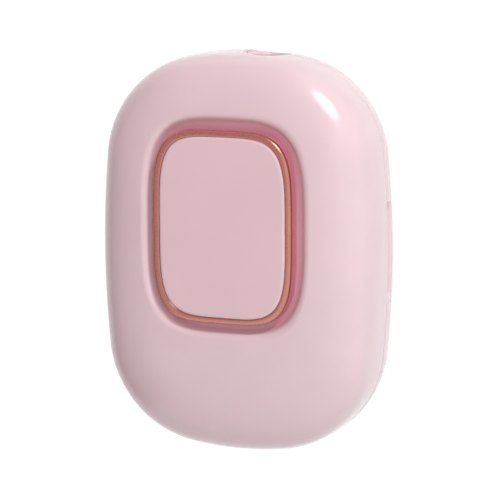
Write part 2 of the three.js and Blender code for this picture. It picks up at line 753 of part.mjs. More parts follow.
// A half collar of soft rubber with a thin lip that closes on the brush's neck.
function neckCollar(side) {
  const far = collarY + collarLength;
  const bore = [
    [0, collarY - overrun],
    [collarBore + collarLip, collarY - overrun],
    [collarBore + collarLip, collarY],
    [collarBore, collarY + collarLength / 2],
    [collarBore + collarLip, far],
    [collarBore + collarLip, far + overrun],
    [0, far + overrun],
  ].map(([radius, height]) => new THREE.Vector2(radius, height));
  const opening = solid(new THREE.LatheGeometry(bore, roundSteps).translate(neckX, 0, partingZ));
  const ring = lengthwise(collarRadius, neckX, partingZ, collarY, far).subtract(opening);
  const near = partingZ + (side * partingGap) / 2;
  const away = partingZ + side * caseWidth;
  return ring.intersect(box(-caseWidth, caseWidth, 0, caseHeight, Math.min(near, away), Math.max(near, away)));
}

// A pan-head screw that points up or down from under its head.
function screw(x, y, headZ, side, length) {
  const tip = headZ + side * length;
  const top = headZ - side * screwHeadHeight;
  const shank = upright(screwRadius, x, y, Math.min(headZ, tip), Math.max(headZ, tip));
  const head = upright(screwHeadRadius, x, y, Math.min(headZ, top), Math.max(headZ, top));
  return shank.add(head);
}

function mainBoard() {
  const board = plate(oval(boardHalfWidth, boardHalfLength, boardExponent, boardCentreY), 0, boardZ, boardTopZ);
  const chipTop = boardTopZ + chipHeight;
  const chips = [
    box(-standoffX, -switchSize, wellCentreY - switchSize, wellCentreY, boardZ, chipTop),
    box(switchSize, standoffX, wellCentreY - switchSize / 2, wellCentreY + switchSize / 2, boardZ, chipTop),
    box(-switchSize / 2, switchSize / 2, boardCentreY - switchSize, boardCentreY - switchSize / 2,
      boardZ, chipTop),
  ];
  const holes = standoffPlaces.map(([x, y]) =>
    upright(screwRadius + seatGap, x, y, boardZ - overrun, boardTopZ + overrun));
  return joined([board, ...chips]).subtract(joined(holes));
}

function switchBody() {
  const half = switchSize / 2;
  const body = box(-half, half, wellCentreY - half, wellCentreY + half, switchZ, switchTopZ);
  return body.subtract(upright(stemRadius + seatGap, 0, wellCentreY, switchZ + switchBase, switchTopZ + overrun));
}

function chargingSocket() {
  const mouth = -halfHeight + socketRecess;
  const back = mouth + socketLength;
  const shell = stadium(socketWidth, socketHeight, mouth, back);
  const cavity = stadium(socketWidth - 2 * socketShell, socketHeight - 2 * socketShell, mouth - overrun,
    back - socketBack);
  const tongue = box(-tongueWidth / 2, tongueWidth / 2, mouth + tongueShort, back - socketBack / 2,
    socketZ - tongueHeight / 2, socketZ + tongueHeight / 2);
  return shell.subtract(cavity).add(tongue);
}

// A pouch cell: a pillow with soft edges between the board and the lid.
function battery() {
  const near = batteryLowerInset - halfHeight;
  const far = wellCentreY - wellHalfHeight - batteryGapToWell;
  const batteryLength = far - near;
  const halfX = batteryWidth / 2 - batteryRound;
  const halfY = batteryLength / 2 - batteryRound;
  const outline = new THREE.Shape();
  outline.moveTo(-halfX, -halfY);
  outline.lineTo(halfX, -halfY);
  outline.lineTo(halfX, halfY);
  outline.lineTo(-halfX, halfY);
  outline.closePath();
  const pouch = new THREE.ExtrudeGeometry(outline, {
    depth: batteryThickness - 2 * batteryRound,
    bevelThickness: batteryRound,
    bevelSize: batteryRound,
    bevelSegments: 3,
  });
  return solid(pouch.translate(0, far - batteryLength / 2, switchZ + batteryRound));
}

function numbered(name, places, make, material) {
  places.forEach((place, i) => piece(name + "_" + (i + 1), make(...place), material));
}

piece("rear_shell", rearShell(), shellPink);
piece("rear_liner", rearLiner(), linerSilver);
numbered("rear_liner_screw", screwPlaces,
  (x, y) => screw(x, y, rearFlangeZ - screwSink + seatGap / 2, -1, screwLength), steel);
piece("neck_collar_rear", neckCollar(-1), softPink);
numbered("rear_magnet", magnetPlaces, (x, y) => upright(magnetRadius, x, y,
  rearFlangeZ - linerWall - seatGap - magnetThickness, rearFlangeZ - linerWall - seatGap), steel);
piece("hinge_pin", lengthwise(pinRadius, hingeX, partingZ, -hingeHalfLength, hingeHalfLength, smallSteps), steel);

piece("front_shell", frontShell(), shellPink);
piece("bezel_ring", bezelRing(), roseGold);
piece("plunger_seal", plungerSeal(), softPink);
piece("front_liner", frontLiner(), linerSilver);
numbered("front_liner_screw", screwPlaces,
  (x, y) => screw(x, y, frontFlangeZ + screwSink - seatGap / 2, 1, screwLength), steel);
piece("neck_collar_front", neckCollar(1), softPink);
numbered("front_magnet", magnetPlaces, (x, y) => upright(magnetRadius, x, y,
  frontFlangeZ + linerWall + seatGap, frontFlangeZ + linerWall + seatGap + magnetThickness), steel);
piece("uv_window", box(-windowHalfWidth - windowLedge, windowHalfWidth + windowLedge,
  windowCentreY - windowHalfHeight - windowLedge, windowCentreY + windowHalfHeight + windowLedge,
  windowZ, windowZ + windowThickness), quartz);
numbered("uv_led", [[-lampSpacing / 2], [lampSpacing / 2]], (x) => box(x - lampSize / 2, x + lampSize / 2,
  windowCentreY - lampSize / 2, windowCentreY + lampSize / 2, lampTopZ - lampHeight, lampTopZ), lampCeramic);
piece("main_board", mainBoard(), boardGreen);
numbered("board_screw", [standoffPlaces[0], standoffPlaces[3]],
  (x, y) => screw(x, y, boardTopZ + seatGap / 2, -1, boardScrewLength), steel);
piece("switch_body", switchBody(), switchBlack);
piece("charging_socket", chargingSocket(), steel);
piece("battery", battery(), cellSilver);

piece("button_panel", buttonPanel(), panelPink);
piece("switch_stem", upright(stemRadius, 0, wellCentreY, stemBottomZ, stemTopZ), switchBlack);

export default group;
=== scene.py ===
"""A pocket sanitizer case for the head of a toothbrush, finished for a studio picture.

The case is a pebble in two halves, hinged on its left side. The front half is the lid: it carries the
large front panel in its rose-gold ring, the lamps, the board, the cell and the charging inlet. The rear
half lies on its flat back. Both hold a bright liner, and a soft collar closes the neck opening in the
top end.

Lengths are in metres. The origin is the middle of the flat back, +Z comes out of the front panel, +Y
points to the neck opening and +X to the finger scoop.
"""

import logging
import math
from collections.abc import Callable, Iterable, Sequence
from dataclasses import astuple, dataclass, replace
from enum import Enum
from functools import cached_property

import bmesh
import bpy
from mathutils import Matrix, Vector

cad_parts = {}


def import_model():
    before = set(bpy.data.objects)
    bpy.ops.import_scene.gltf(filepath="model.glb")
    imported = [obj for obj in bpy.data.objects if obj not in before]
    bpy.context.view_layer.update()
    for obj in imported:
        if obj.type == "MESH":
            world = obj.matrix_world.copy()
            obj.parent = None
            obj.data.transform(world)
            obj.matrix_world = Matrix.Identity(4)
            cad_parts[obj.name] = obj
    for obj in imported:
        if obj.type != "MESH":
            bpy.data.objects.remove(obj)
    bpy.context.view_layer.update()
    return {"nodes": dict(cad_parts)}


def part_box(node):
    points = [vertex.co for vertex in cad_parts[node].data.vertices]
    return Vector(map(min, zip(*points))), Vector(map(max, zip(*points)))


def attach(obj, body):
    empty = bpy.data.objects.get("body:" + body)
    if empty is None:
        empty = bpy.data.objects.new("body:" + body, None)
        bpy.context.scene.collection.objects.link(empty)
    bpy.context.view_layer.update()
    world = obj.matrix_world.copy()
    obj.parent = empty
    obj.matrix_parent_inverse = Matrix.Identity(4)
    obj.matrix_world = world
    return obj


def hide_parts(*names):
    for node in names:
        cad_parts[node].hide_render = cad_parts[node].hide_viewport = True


LOG = logging.getLogger("sanitizer_case")
MM = 0.001
QUARTER = math.pi / 2
MERGE = 0.0001 * MM
CREASE = math.radians(32)
CLOUD_STOPS = (0.35, 0.65)
CLOUD_RANGE = (0.3, 0.7)

Box = tuple[Vector, Vector]
Colour = tuple[float, float, float]
Mesh = bmesh.types.BMesh
Object = bpy.types.Object
Ring = Callable[[float], Vector]
Socket = bpy.types.NodeSocket


class Body(Enum):
    """The rigid bodies that pieces ride on."""

    BASE = "base"
    LID = "lid"
    BUTTON = "button"


class Cut(Enum):
    """How one solid changes another."""

    REMOVE = "DIFFERENCE"
    JOIN = "UNION"
    KEEP_COMMON = "INTERSECT"


# Outlines and domes


@dataclass(frozen=True)
class Pebble:
    """An outline of arcs that run smoothly into each other: two sides, two ends and four corners."""

    half_width: float
    half_height: float
    side_radius: float
    end_radius: float
    corner_radius: float

    def grown(self, distance: float) -> "Pebble":
        """The same outline, moved out by a distance all round."""
        return Pebble(*(size + distance for size in astuple(self)))

    @cached_property
    def centres(self) -> tuple[Vector, Vector, Vector]:
        """The centres of the arcs.

        Returns:
            Those of the right side, of the upper end and of the corner between them.
        """
        side = Vector((self.half_width - self.side_radius, 0.0))
        end = Vector((0.0, self.half_height - self.end_radius))
        from_side = self.side_radius - self.corner_radius
        from_end = self.end_radius - self.corner_radius
        apart = end - side
        along = (from_side**2 - from_end**2 + apart.length_squared) / (2 * apart.length)
        across = math.sqrt(from_side**2 - along**2)
        axis = apart.normalized()
        return side, end, side + axis * along + Vector((-axis.y, axis.x)) * across

    @cached_property
    def joints(self) -> list[float]:
        """Where the arcs meet.

        Returns:
            The directions in which the side runs into the corner, and the corner into the end.
        """
        side, end, corner = self.centres
        touches = [corner + (corner - centre).normalized() * self.corner_radius for centre in (side, end)]
        return [math.atan2(touch.y, touch.x) for touch in touches]

    def reach(self, direction: float) -> float:
        """How far the outline lies from the middle in a direction.

        Args:
            direction: The angle from +X towards +Y.

        Returns:
            The distance from the middle to the outline.
        """
        cosine, sine = abs(math.cos(direction)), abs(math.sin(direction))
        leaning = math.atan2(sine, cosine)
        side, end, corner = self.centres
        if leaning < self.joints[0]:
            centre, radius = side, self.side_radius
        elif leaning > self.joints[1]:
            centre, radius = end, self.end_radius
        else:
            centre, radius = corner, self.corner_radius
        beside = centre.x * sine - centre.y * cosine
        return centre.x * cosine + centre.y * sine + math.sqrt(radius**2 - beside**2)

    def point(self, turn: float) -> Vector:
        """A point of the outline.

        Args:
            turn: Its turn, which is even round the outline's own proportions.

        Returns:
            The point, at height 0.
        """
        direction = math.atan2(self.half_height * math.sin(turn), self.half_width * math.cos(turn))
        reach = self.reach(direction)
        return Vector((reach * math.cos(direction), reach * math.sin(direction), 0.0))

    def level(self, x: float, y: float) -> float:
        """How far out a point lies: 0 in the middle and 1 on the outline."""
        return math.hypot(x, y) / self.reach(math.atan2(y, x))


@dataclass(frozen=True)
class Oval:
    """An oval with flattened sides round its own centre."""

    half_width: float
    half_height: float
    exponent: float
    centre_x: float = 0.0
    centre_y: float = 0.0

    def grown(self, distance: float) -> "Oval":
        """The same oval with both half sizes longer by a distance."""
        return replace(self, half_width=self.half_width + distance, half_height=self.half_height + distance)

    def point(self, turn: float) -> Vector:
        """A point of the oval.

        Args:
            turn: Its turn from +X towards +Y.

        Returns:
            The point, at height 0.
        """
        cosine, sine = math.cos(turn), math.sin(turn)
        reach = (abs(cosine) ** self.exponent + abs(sine) ** self.exponent) ** (-1 / self.exponent)
        return Vector((self.centre_x + self.half_width * reach * cosine,
                       self.centre_y + self.half_height * reach * sine, 0.0))


@dataclass(frozen=True)
class Dome:
    """Half of the pebble: its outline, its depth, and how full its shoulder is."""

    outline: Pebble
    parting: float
    depth: float
    fullness: float
    side: int

    def inset(self, distance: float) -> "Dome":
        """The inner face of a wall of that thickness."""
        return replace(self, outline=self.outline.grown(-distance), depth=self.depth - distance)

    def height(self, place: Vector) -> float:
        """The dome's height over a point of the plan."""
        level = min(self.outline.level(place.x, place.y), 1.0)
        return self.parting + self.side * self.depth * (1 - level**self.fullness) ** (1 / self.fullness)

    def level_at(self, height: float) -> float:
        """How far out the dome lies at a height, as a share of its outline."""
        share = min(abs(height - self.parting) / self.depth, 1.0)
        return (1 - share**self.fullness) ** (1 / self.fullness)

    def ring(self, level: float, height: float) -> Ring:
        """The outline drawn in to a level, at a height."""
        return lambda turn: self.outline.point(turn) * level + Vector((0, 0, height))

    def rings(self, start: float, end_level: float, count: int) -> list[Ring]:
        """Rings up the dome, spaced by the angle of its shoulder.

        Args:
            start: The height of the first ring.
            end_level: The level of the last ring.
            count: How many rings there are.

        Returns:
            The rings from the first to the last.
        """
        power = self.fullness / 2
        first = math.asin((abs(start - self.parting) / self.depth) ** power)
        last = math.acos(end_level**power)
        made = []
        for index in range(count):
            angle = first + (last - first) * index / (count - 1)
            level = math.cos(angle) ** (1 / power)
            rise = self.depth * math.sin(angle) ** (1 / power)
            made.append(self.ring(level, self.parting + self.side * rise))
        return made


# Rings


def raised(ring: Ring, rise: float) -> Ring:
    """A ring lifted by a rise."""
    return lambda turn: ring(turn) + Vector((0, 0, rise))


def flat(outline: Pebble | Oval, height: float) -> Ring:
    """An outline that lies flat at a height."""
    return raised(outline.point, height)


def middle(x: float, y: float, height: float) -> Ring:
    """A ring that has shrunk to one point."""
    return lambda turn: Vector((x, y, height))


def changed(ring: Ring, change: Callable[[Vector], Vector]) -> Ring:
    """A ring whose points are each moved by a function."""
    return lambda turn: change(ring(turn))


def laid(ring: Ring, height: Callable[[Vector], float]) -> Ring:
    """A ring whose points each lie at the height that a function gives for them."""
    return changed(ring, lambda place: Vector((place.x, place.y, height(place))))


def between(first: Ring, last: Ring, share: float) -> Ring:
    """A ring part of the way from one ring to another."""
    return lambda turn: first(turn).lerp(last(turn), share)


def spread(first: Ring, last: Ring, count: int) -> list[Ring]:
    """Evenly spaced rings between two rings, without the two."""
    return [between(first, last, (index + 1) / (count + 1)) for index in range(count)]


def arc(radius: float, start: float, end: float, steps: int) -> list[tuple[float, float]]:
    """The sideways and upward steps from an arc's centre to points along it."""
    angles = [start + (end - start) * index / steps for index in range(steps + 1)]
    return [(radius * math.cos(angle), radius * math.sin(angle)) for angle in angles]


def rolled(outline: Pebble | Oval, height: float, radius: float, start: float, end: float, steps: int,
           side: int = 1) -> list[Ring]:
    """Rings over an edge rolled on an arc round an outline at a height. Side is -1 if the arc hangs down."""
    return [flat(outline.grown(across), height + side * up) for across, up in arc(radius, start, end, steps)]


# Solids


def closed(mesh: Mesh) -> Mesh:
    """Merges a mesh's coincident points and turns its faces outwards.

    Args:
        mesh: The mesh, which is changed in place.

    Returns:
        The same mesh.
    """
    bmesh.ops.remove_doubles(mesh, verts=mesh.verts, dist=MERGE)
    bmesh.ops.dissolve_degenerate(mesh, edges=mesh.edges, dist=MERGE / 2)
    bmesh.ops.recalc_face_normals(mesh, faces=mesh.faces)
    return mesh


def loft(rings: Sequence[Ring], steps: int) -> Mesh:
    """Skins a row of rings, each extruded from the one before and laid in its own place.

    Args:
        rings: The rings in order. The first and last are poles, or the same ring.
        steps: How many points each ring has.

    Returns:
        The closed mesh, with its coincident points merged.
    """
    mesh = bmesh.new()
    turn = mesh.verts.layers.float.new("turn")
    bmesh.ops.create_circle(mesh, segments=steps, radius=1.0)
    for vert in mesh.verts:
        vert[turn] = math.atan2(vert.co.y, vert.co.x)
    edges = list(mesh.edges)
    verts = list(mesh.verts)
    for index, ring in enumerate(rings):
        if index:
            grown = bmesh.ops.extrude_edge_only(mesh, edges=edges)["geom"]
            verts = [item for item in grown if isinstance(item, bmesh.types.BMVert)]
            fresh = set(verts)
            edges = [item for item in grown if isinstance(item, bmesh.types.BMEdge)
                     and fresh.issuperset(item.verts)]
        for vert in verts:
            vert.co = ring(vert[turn])
    return closed(mesh)


def lathe(profile: Sequence[tuple[float, float]], steps: int) -> Mesh:
    """Spins a profile of radius and height round the Z axis.

    Args:
        profile: The points in order, from axis to axis, or back to the first one.
        steps: How many steps the full turn has.

    Returns:
        The closed mesh.
    """
    mesh = bmesh.new()
    points = [mesh.verts.new((radius, 0.0, height)) for radius, height in profile]
    edges = [mesh.edges.new(pair) for pair in zip(points, points[1:])]
    bmesh.ops.spin(mesh, geom=points + edges, cent=(0, 0, 0), axis=(0, 0, 1), angle=2 * math.pi,
                   steps=steps, use_merge=True)
    return closed(mesh)


def softened(mesh: Mesh, edges: Iterable[bmesh.types.BMEdge], rounding: float) -> Mesh:
    """Rounds some edges of a mesh, if a rounding is given.

    Args:
        mesh: The mesh, which is changed in place.
        edges: Its edges that are rounded.
        rounding: The radius, or 0 to leave them sharp.

    Returns:
        The same mesh.
    """
    if rounding:
        bmesh.ops.bevel(mesh, geom=list(edges), offset=rounding, offset_type="OFFSET", affect="EDGES",
                        segments=3, profile=0.5, material=-1)
    return mesh


def block(low: Sequence[float], high: Sequence[float], rounding: float = 0.0,
          mesh: Mesh | None = None) -> Mesh:
    """Makes a box.

    Args:
        low: Its low corner.
        high: Its high corner.
        rounding: The rounding of its edges.
        mesh: The mesh that it is added to, or none for a new one.

    Returns:
        The mesh with the box.
    """
    mesh = bmesh.new() if mesh is None else mesh
    low, high = Vector(low), Vector(high)
    size = Matrix.Diagonal(high - low).to_4x4()
    bmesh.ops.create_cube(mesh, size=1.0, matrix=Matrix.Translation((low + high) / 2) @ size)
    return softened(mesh, mesh.edges, rounding)


def rod(radius: float, start: Sequence[float], end: Sequence[float], steps: int = 64,
        rounding: float = 0.0) -> Mesh:
    """Makes a round rod.

    Args:
        radius: Its radius.
        start: The middle of its first end.
        end: The middle of its other end.
        steps: How many sides stand for its round.
        rounding: The rounding of its ends.

    Returns:
        The closed mesh.
    """
    mesh = bmesh.new()
    start, end = Vector(start), Vector(end)
    axis = end - start
    turn = axis.to_track_quat("Z", "Y").to_matrix().to_4x4()
    bmesh.ops.create_cone(mesh, cap_ends=True, segments=steps, radius1=radius, radius2=radius,
                          depth=axis.length, matrix=Matrix.Translation((start + end) / 2) @ turn)
    rims = [edge for edge in mesh.edges if any(len(face.verts) > 4 for face in edge.link_faces)]
    return softened(mesh, rims, rounding)


def upright(radius: float, place: Vector, start: float, end: float, steps: int = 48) -> Mesh:
    """A rod that stands at a place of the plan, from one height to another."""
    return rod(radius, (place.x, place.y, start), (place.x, place.y, end), steps)


def placed(mesh: Mesh, matrix: Matrix) -> Mesh:
    """Moves a mesh as a matrix says."""
    bmesh.ops.transform(mesh, matrix=matrix, verts=mesh.verts)
    return mesh


def as_object(name: str, mesh: Mesh) -> Object:
    """Makes an object of a mesh and adds it to the scene.

    Args:
        name: The object's name.
        mesh: The mesh, which is used up.

    Returns:
        The object.
    """
    data = bpy.data.meshes.new(name)
    mesh.to_mesh(data)
    mesh.free()
    made = bpy.data.objects.new(name, data)
    bpy.context.scene.collection.objects.link(made)
    return made


def carve(target: Object, tools: Iterable[Mesh], how: Cut) -> None:
    """Cuts tools out of an object, or joins them to it, and removes the tools.

    Args:
        target: The object that changes.
        tools: The solids that change it, one after the other.
        how: Whether they are removed, joined or kept in common.
    """
    for mesh in tools:
        tool = as_object("tool", mesh)
        step = target.modifiers.new("carve", "BOOLEAN")
        step.operation, step.solver, step.object = how.value, "MANIFOLD", tool
        graph = bpy.context.evaluated_depsgraph_get()
        result = bpy.data.meshes.new_from_object(target.evaluated_get(graph))
        target.modifiers.clear()
        worn, target.data = target.data, result
        bpy.data.meshes.remove(worn)
        bpy.data.objects.remove(tool)


def within(mesh: Mesh, dome: Dome, start: float) -> Mesh:
    """Cuts a solid to the room under a dome.

    Args:
        mesh: The solid, which is used up.
        dome: The dome that bounds it.
        start: The height of the dome's rim, where it ends on the other side.

    Returns:
        The part that is kept.
    """
    part = as_object("part", mesh)
    carve(part, [loft([middle(0, 0, start)] + dome.rings(start, 0.0, 40), 256)], Cut.KEEP_COMMON)
    kept = bmesh.new()
    kept.from_mesh(part.data)
    bpy.data.objects.remove(part)
    return kept


# Finishes


class Graph:
    """The nodes of one material or world, made and joined by name."""

    def __init__(self, owner: bpy.types.Material | bpy.types.World) -> None:
        """Starts an empty graph.

        Args:
            owner: What the nodes belong to.
        """
        owner.use_nodes = True
        self.owner = owner
        self.tree = owner.node_tree
        self.tree.nodes.clear()

    def add(self, kind: str, inputs: dict[str | int, object] | None = None,
            **settings: object) -> bpy.types.Node:
        """Adds a node.

        Args:
            kind: The node's type.
            inputs: What goes into each socket: a value, or another node's output.
            settings: The node's own properties.

        Returns:
            The new node.
        """
        node = self.tree.nodes.new(kind)
        for name, value in settings.items():
            setattr(node, name, value)
        for name, value in (inputs or {}).items():
            if isinstance(value, Socket):
                self.tree.links.new(value, node.inputs[name])
            else:
                node.inputs[name].default_value = value
        return node

    def place(self) -> Socket:
        """The point of the surface, in the case's own frame."""
        return self.add("ShaderNodeTexCoord").outputs["Object"]

    def noise(self, size: float, detail: float = 2.0, stretch: Sequence[float] = (1, 1, 1)) -> Socket:
        """Cloudy noise.

        Args:
            size: About how far its patches reach.
            detail: How fine it goes.
            stretch: How much longer its patches are along each axis.

        Returns:
            The noise, from 0 to 1.
        """
        scale = tuple(1 / longer for longer in stretch)
        place = self.add("ShaderNodeMapping", {"Vector": self.place(), "Scale": scale}).outputs[0]
        noise = self.add("ShaderNodeTexNoise", {"Vector": place, "Scale": 1 / size, "Detail": detail})
        return noise.outputs[0]

    def tinted(self, factor: Socket, low: Colour, high: Colour) -> Socket:
        """A colour that drifts from one to another as a cloudy factor rises.

        Args:
            factor: The factor.
            low: The colour where it is low.
            high: The colour where it is high.

        Returns:
            The colour.
        """
        ramp = self.add("ShaderNodeValToRGB", {0: factor})
        for stop, place, colour in zip(ramp.color_ramp.elements, CLOUD_STOPS, (low, high)):
            stop.position, stop.color = place, (*colour, 1.0)
        return ramp.outputs[0]

    def mapped(self, value: Socket, start: float, end: float, low: float, high: float) -> Socket:
        """A value that goes from low to high while another goes from a start to an end."""
        return self.add("ShaderNodeMapRange", {"Value": value, "From Min": start, "From Max": end,
                                               "To Min": low, "To Max": high}).outputs[0]

    def ranged(self, factor: Socket, value: float, drift: float) -> Socket:
        """A value that drifts to both sides with a cloudy factor."""
        return self.mapped(factor, *CLOUD_RANGE, value - drift, value + drift)

    def mixed(self, factor: Socket, first: Socket, second: Colour) -> Socket:
        """One colour that gives way to another as a factor rises."""
        mix = self.add("ShaderNodeMixRGB", {"Fac": factor, "Color1": first, "Color2": (*second, 1)})
        return mix.outputs[0]

    def sum(self, how: str, *values: Socket | float, clamp: bool = False) -> Socket:
        """A sum of one or two values."""
        return self.add("ShaderNodeMath", dict(enumerate(values)), operation=how, use_clamp=clamp).outputs[0]

    def relief(self, factor: Socket, height: float) -> Socket:
        """A fine relief of that height."""
        return self.add("ShaderNodeBump", {"Height": factor, "Strength": 1.0, "Distance": height}).outputs[0]

    def glow(self, colour: Colour, strength: float = 1.0) -> Socket:
        """A plain glow."""
        return self.add("ShaderNodeEmission", {"Color": (*colour, 1), "Strength": strength}).outputs[0]

    def seen_directly(self) -> Socket:
        """Tells what the camera sees itself, in a mirror or through glass from the light that it gives.

        Returns:
            1 for what is seen, and 0 for the light.
        """
        path = self.add("ShaderNodeLightPath").outputs
        total = path["Is Camera Ray"]
        for name in ("Is Glossy Ray", "Is Transmission Ray"):
            total = self.sum("ADD", total, path[name], clamp=True)
        return total

    def close(self, shader: Socket, kind: str = "Material") -> bpy.types.Material | bpy.types.World:
        """Ends the graph in a shader and hands over its owner."""
        self.add(f"ShaderNodeOutput{kind}", {"Surface": shader})
        return self.owner


def shade(red: int, green: int, blue: int) -> Colour:
    """A colour as it is read from a screen, in linear light."""
    return tuple((value / 255 / 12.92 if value <= 10 else ((value / 255 + 0.055) / 1.055) ** 2.4)
                 for value in (red, green, blue))


def toned(colour: Colour, share: float) -> Colour:
    """A colour made lighter or darker by a share."""
    return tuple(min(value * (1 + share), 1.0) for value in colour)


@dataclass(frozen=True)
class Finish:
    """What a piece is made of."""

    name: str

    def inputs(self, graph: Graph) -> dict[str, object]:
        """What goes into the sockets of the surface shader: each kind of finish says it."""
        raise NotImplementedError

    def material(self) -> bpy.types.Material:
        """Finds the material, or makes it the first time.

        Returns:
            The material.
        """
        found = bpy.data.materials.get(self.name)
        if found:
            return found
        graph = Graph(bpy.data.materials.new(self.name))
        return graph.close(graph.add("ShaderNodeBsdfPrincipled", self.inputs(graph)).outputs[0])


@dataclass(frozen=True)
class Moulded(Finish):
    """A moulded plastic: an even colour with a faint drift in tone and gloss, and the mould's fine relief."""

    colour: Colour
    roughness: float
    drift: float = 0.012
    gloss_drift: float = 0.02
    tone_patch: float = 14 * MM
    gloss_patch: float = 9 * MM
    relief: float = 0.002 * MM
    grain: float = 0.5 * MM
    glow: float = 0.0
    glow_depth: float = 2.0 * MM
    glow_colour: Colour = (1.0, 0.32, 0.36)
    coat: float = 0.0
    coat_roughness: float = 0.08

    def base_colour(self, graph: Graph) -> Socket:
        """The colour with its faint drift in tone."""
        clouds = graph.noise(self.tone_patch)
        return graph.tinted(clouds, toned(self.colour, -self.drift), toned(self.colour, self.drift))

    def inputs(self, graph: Graph) -> dict[str, object]:
        """What goes into the sockets of the surface shader.

        Args:
            graph: The material's graph.

        Returns:
            The value or the node's output for each socket.
        """
        return {
            "Base Color": self.base_colour(graph),
            "Roughness": graph.ranged(graph.noise(self.gloss_patch, 3.0), self.roughness, self.gloss_drift),
            "Normal": graph.relief(graph.noise(self.grain, 3.0), self.relief),
            "Subsurface Weight": self.glow,
            "Subsurface Radius": self.glow_colour,
            "Subsurface Scale": self.glow_depth,
            "Coat Weight": self.coat,
            "Coat Roughness": self.coat_roughness,
        }


@dataclass(frozen=True)
class Housing(Moulded):
    """The housing's clear-bodied plastic, with painted shade: its pink turns to a painted deep red low in the
    well, towards the plinth, where the well lies in reddened shade.
    """

    # Painted shade: this deep red stands in for the reddened shade low in the well, and it is painted into
    # the colour.
    deep: Colour = (0.58, 0.18, 0.245)
    plinth: Oval = Oval(18.4 * MM, 23.9 * MM, 4.165, -0.25 * MM, 8.08 * MM)
    painted_shade_reach: float = 1.11
    painted_shade_falloff: float = 1.2
    lowest: float = 33 * MM

    def base_colour(self, graph: Graph) -> Socket:
        """The plain pink, mixed with the deep red of the painted shade where the surface lies low and near
        the plinth.

        Args:
            graph: The material's graph.

        Returns:
            The colour.
        """
        place = graph.add("ShaderNodeSeparateXYZ", {0: graph.place()}).outputs
        oval, shares = self.plinth, []
        axes = (("X", oval.centre_x, oval.half_width), ("Y", oval.centre_y, oval.half_height))
        for axis, centre, half in axes:
            beside = graph.sum("ABSOLUTE", graph.sum("SUBTRACT", place[axis], centre))
            shares.append(graph.sum("POWER", graph.sum("DIVIDE", beside, half), oval.exponent))
        level = graph.sum("POWER", graph.sum("ADD", *shares), 1 / oval.exponent)
        # Painted shade: the mask is strongest at the plinth and fades across the well floor, and the deep red
        # is mixed in by it.
        near = graph.sum("POWER", graph.mapped(level, 1.0, self.painted_shade_reach, 1.0, 0.0), self.painted_shade_falloff)
        mask = graph.sum("MULTIPLY", near, graph.sum("GREATER_THAN", place["Z"], self.lowest))
        return graph.mixed(mask, super().base_colour(graph), self.deep)


@dataclass(frozen=True)
class Metal(Finish):
    """A metal: plated, drawn or stamped, with faint marks along its grain."""

    colour: Colour
    roughness: float
    drift: float = 0.03
    gloss_drift: float = 0.05
    tone_patch: float = 5 * MM
    relief: float = 0.001 * MM
    grain: float = 0.3 * MM
    stretch: tuple[float, float, float] = (1, 1, 1)

    def inputs(self, graph: Graph) -> dict[str, object]:
        """What goes into the sockets of the surface shader.

        Args:
            graph: The material's graph.

        Returns:
            The value or the node's output for each socket.
        """
        marks = graph.noise(self.grain, 4.0, self.stretch)
        return {
            "Base Color": graph.tinted(graph.noise(self.tone_patch), toned(self.colour, -self.drift),
                                       toned(self.colour, self.drift)),
            "Metallic": 1.0,
            "Roughness": graph.ranged(marks, self.roughness, self.gloss_drift),
            "Normal": graph.relief(marks, self.relief),
        }


@dataclass(frozen=True)
class Glass(Finish):
    """A clear pane with a faint haze of dust and wipe marks."""

    colour: Colour
    index: float
    drift: float = 0.01
    roughness: float = 0.04
    gloss_drift: float = 0.02
    grain: float = 1.5 * MM
    stretch: tuple[float, float, float] = (3, 1, 1)

    def inputs(self, graph: Graph) -> dict[str, object]:
        """What goes into the sockets of the surface shader.

        Args:
            graph: The material's graph.

        Returns:
            The value or the node's output for each socket.
        """
        haze = graph.noise(self.grain, 4.0, self.stretch)
        return {
            "Base Color": graph.tinted(haze, toned(self.colour, -self.drift), self.colour),
            "Roughness": graph.ranged(haze, self.roughness, self.gloss_drift),
            "IOR": self.index,
            "Transmission Weight": 1.0,
        }


@dataclass(frozen=True)
class Laminate(Finish):
    """A circuit board: a green mask over copper tracks and pale pads."""

    mask: Colour
    track: Colour
    pad: Colour
    track_pitch: float = 0.9 * MM
    track_length: float = 3.2 * MM
    track_gap: float = 0.18 * MM
    pad_pitch: float = 2.4 * MM
    pad_reach: float = 0.12
    pad_edge: float = 0.14
    roughness: float = 0.375
    gloss_drift: float = 0.075
    gloss_patch: float = 2 * MM
    relief: float = 0.03 * MM

    def inputs(self, graph: Graph) -> dict[str, object]:
        """What goes into the sockets of the surface shader.

        Args:
            graph: The material's graph.

        Returns:
            The value or the node's output for each socket.
        """
        tracks = graph.add("ShaderNodeTexBrick", {
            "Vector": graph.place(), "Color1": (*self.mask, 1), "Color2": (*toned(self.mask, 0.25), 1),
            "Mortar": (*self.track, 1), "Scale": 1.0, "Mortar Size": self.track_gap,
            "Brick Width": self.track_length, "Row Height": self.track_pitch})
        pads = graph.add("ShaderNodeTexVoronoi", {"Vector": graph.place(), "Scale": 1 / self.pad_pitch})
        near_pad = graph.mapped(pads.outputs["Distance"], self.pad_reach, self.pad_edge, 1.0, 0.0)
        return {
            "Base Color": graph.mixed(near_pad, tracks.outputs["Color"], self.pad),
            "Roughness": graph.ranged(graph.noise(self.gloss_patch), self.roughness, self.gloss_drift),
            "Normal": graph.relief(tracks.outputs["Fac"], self.relief),
        }
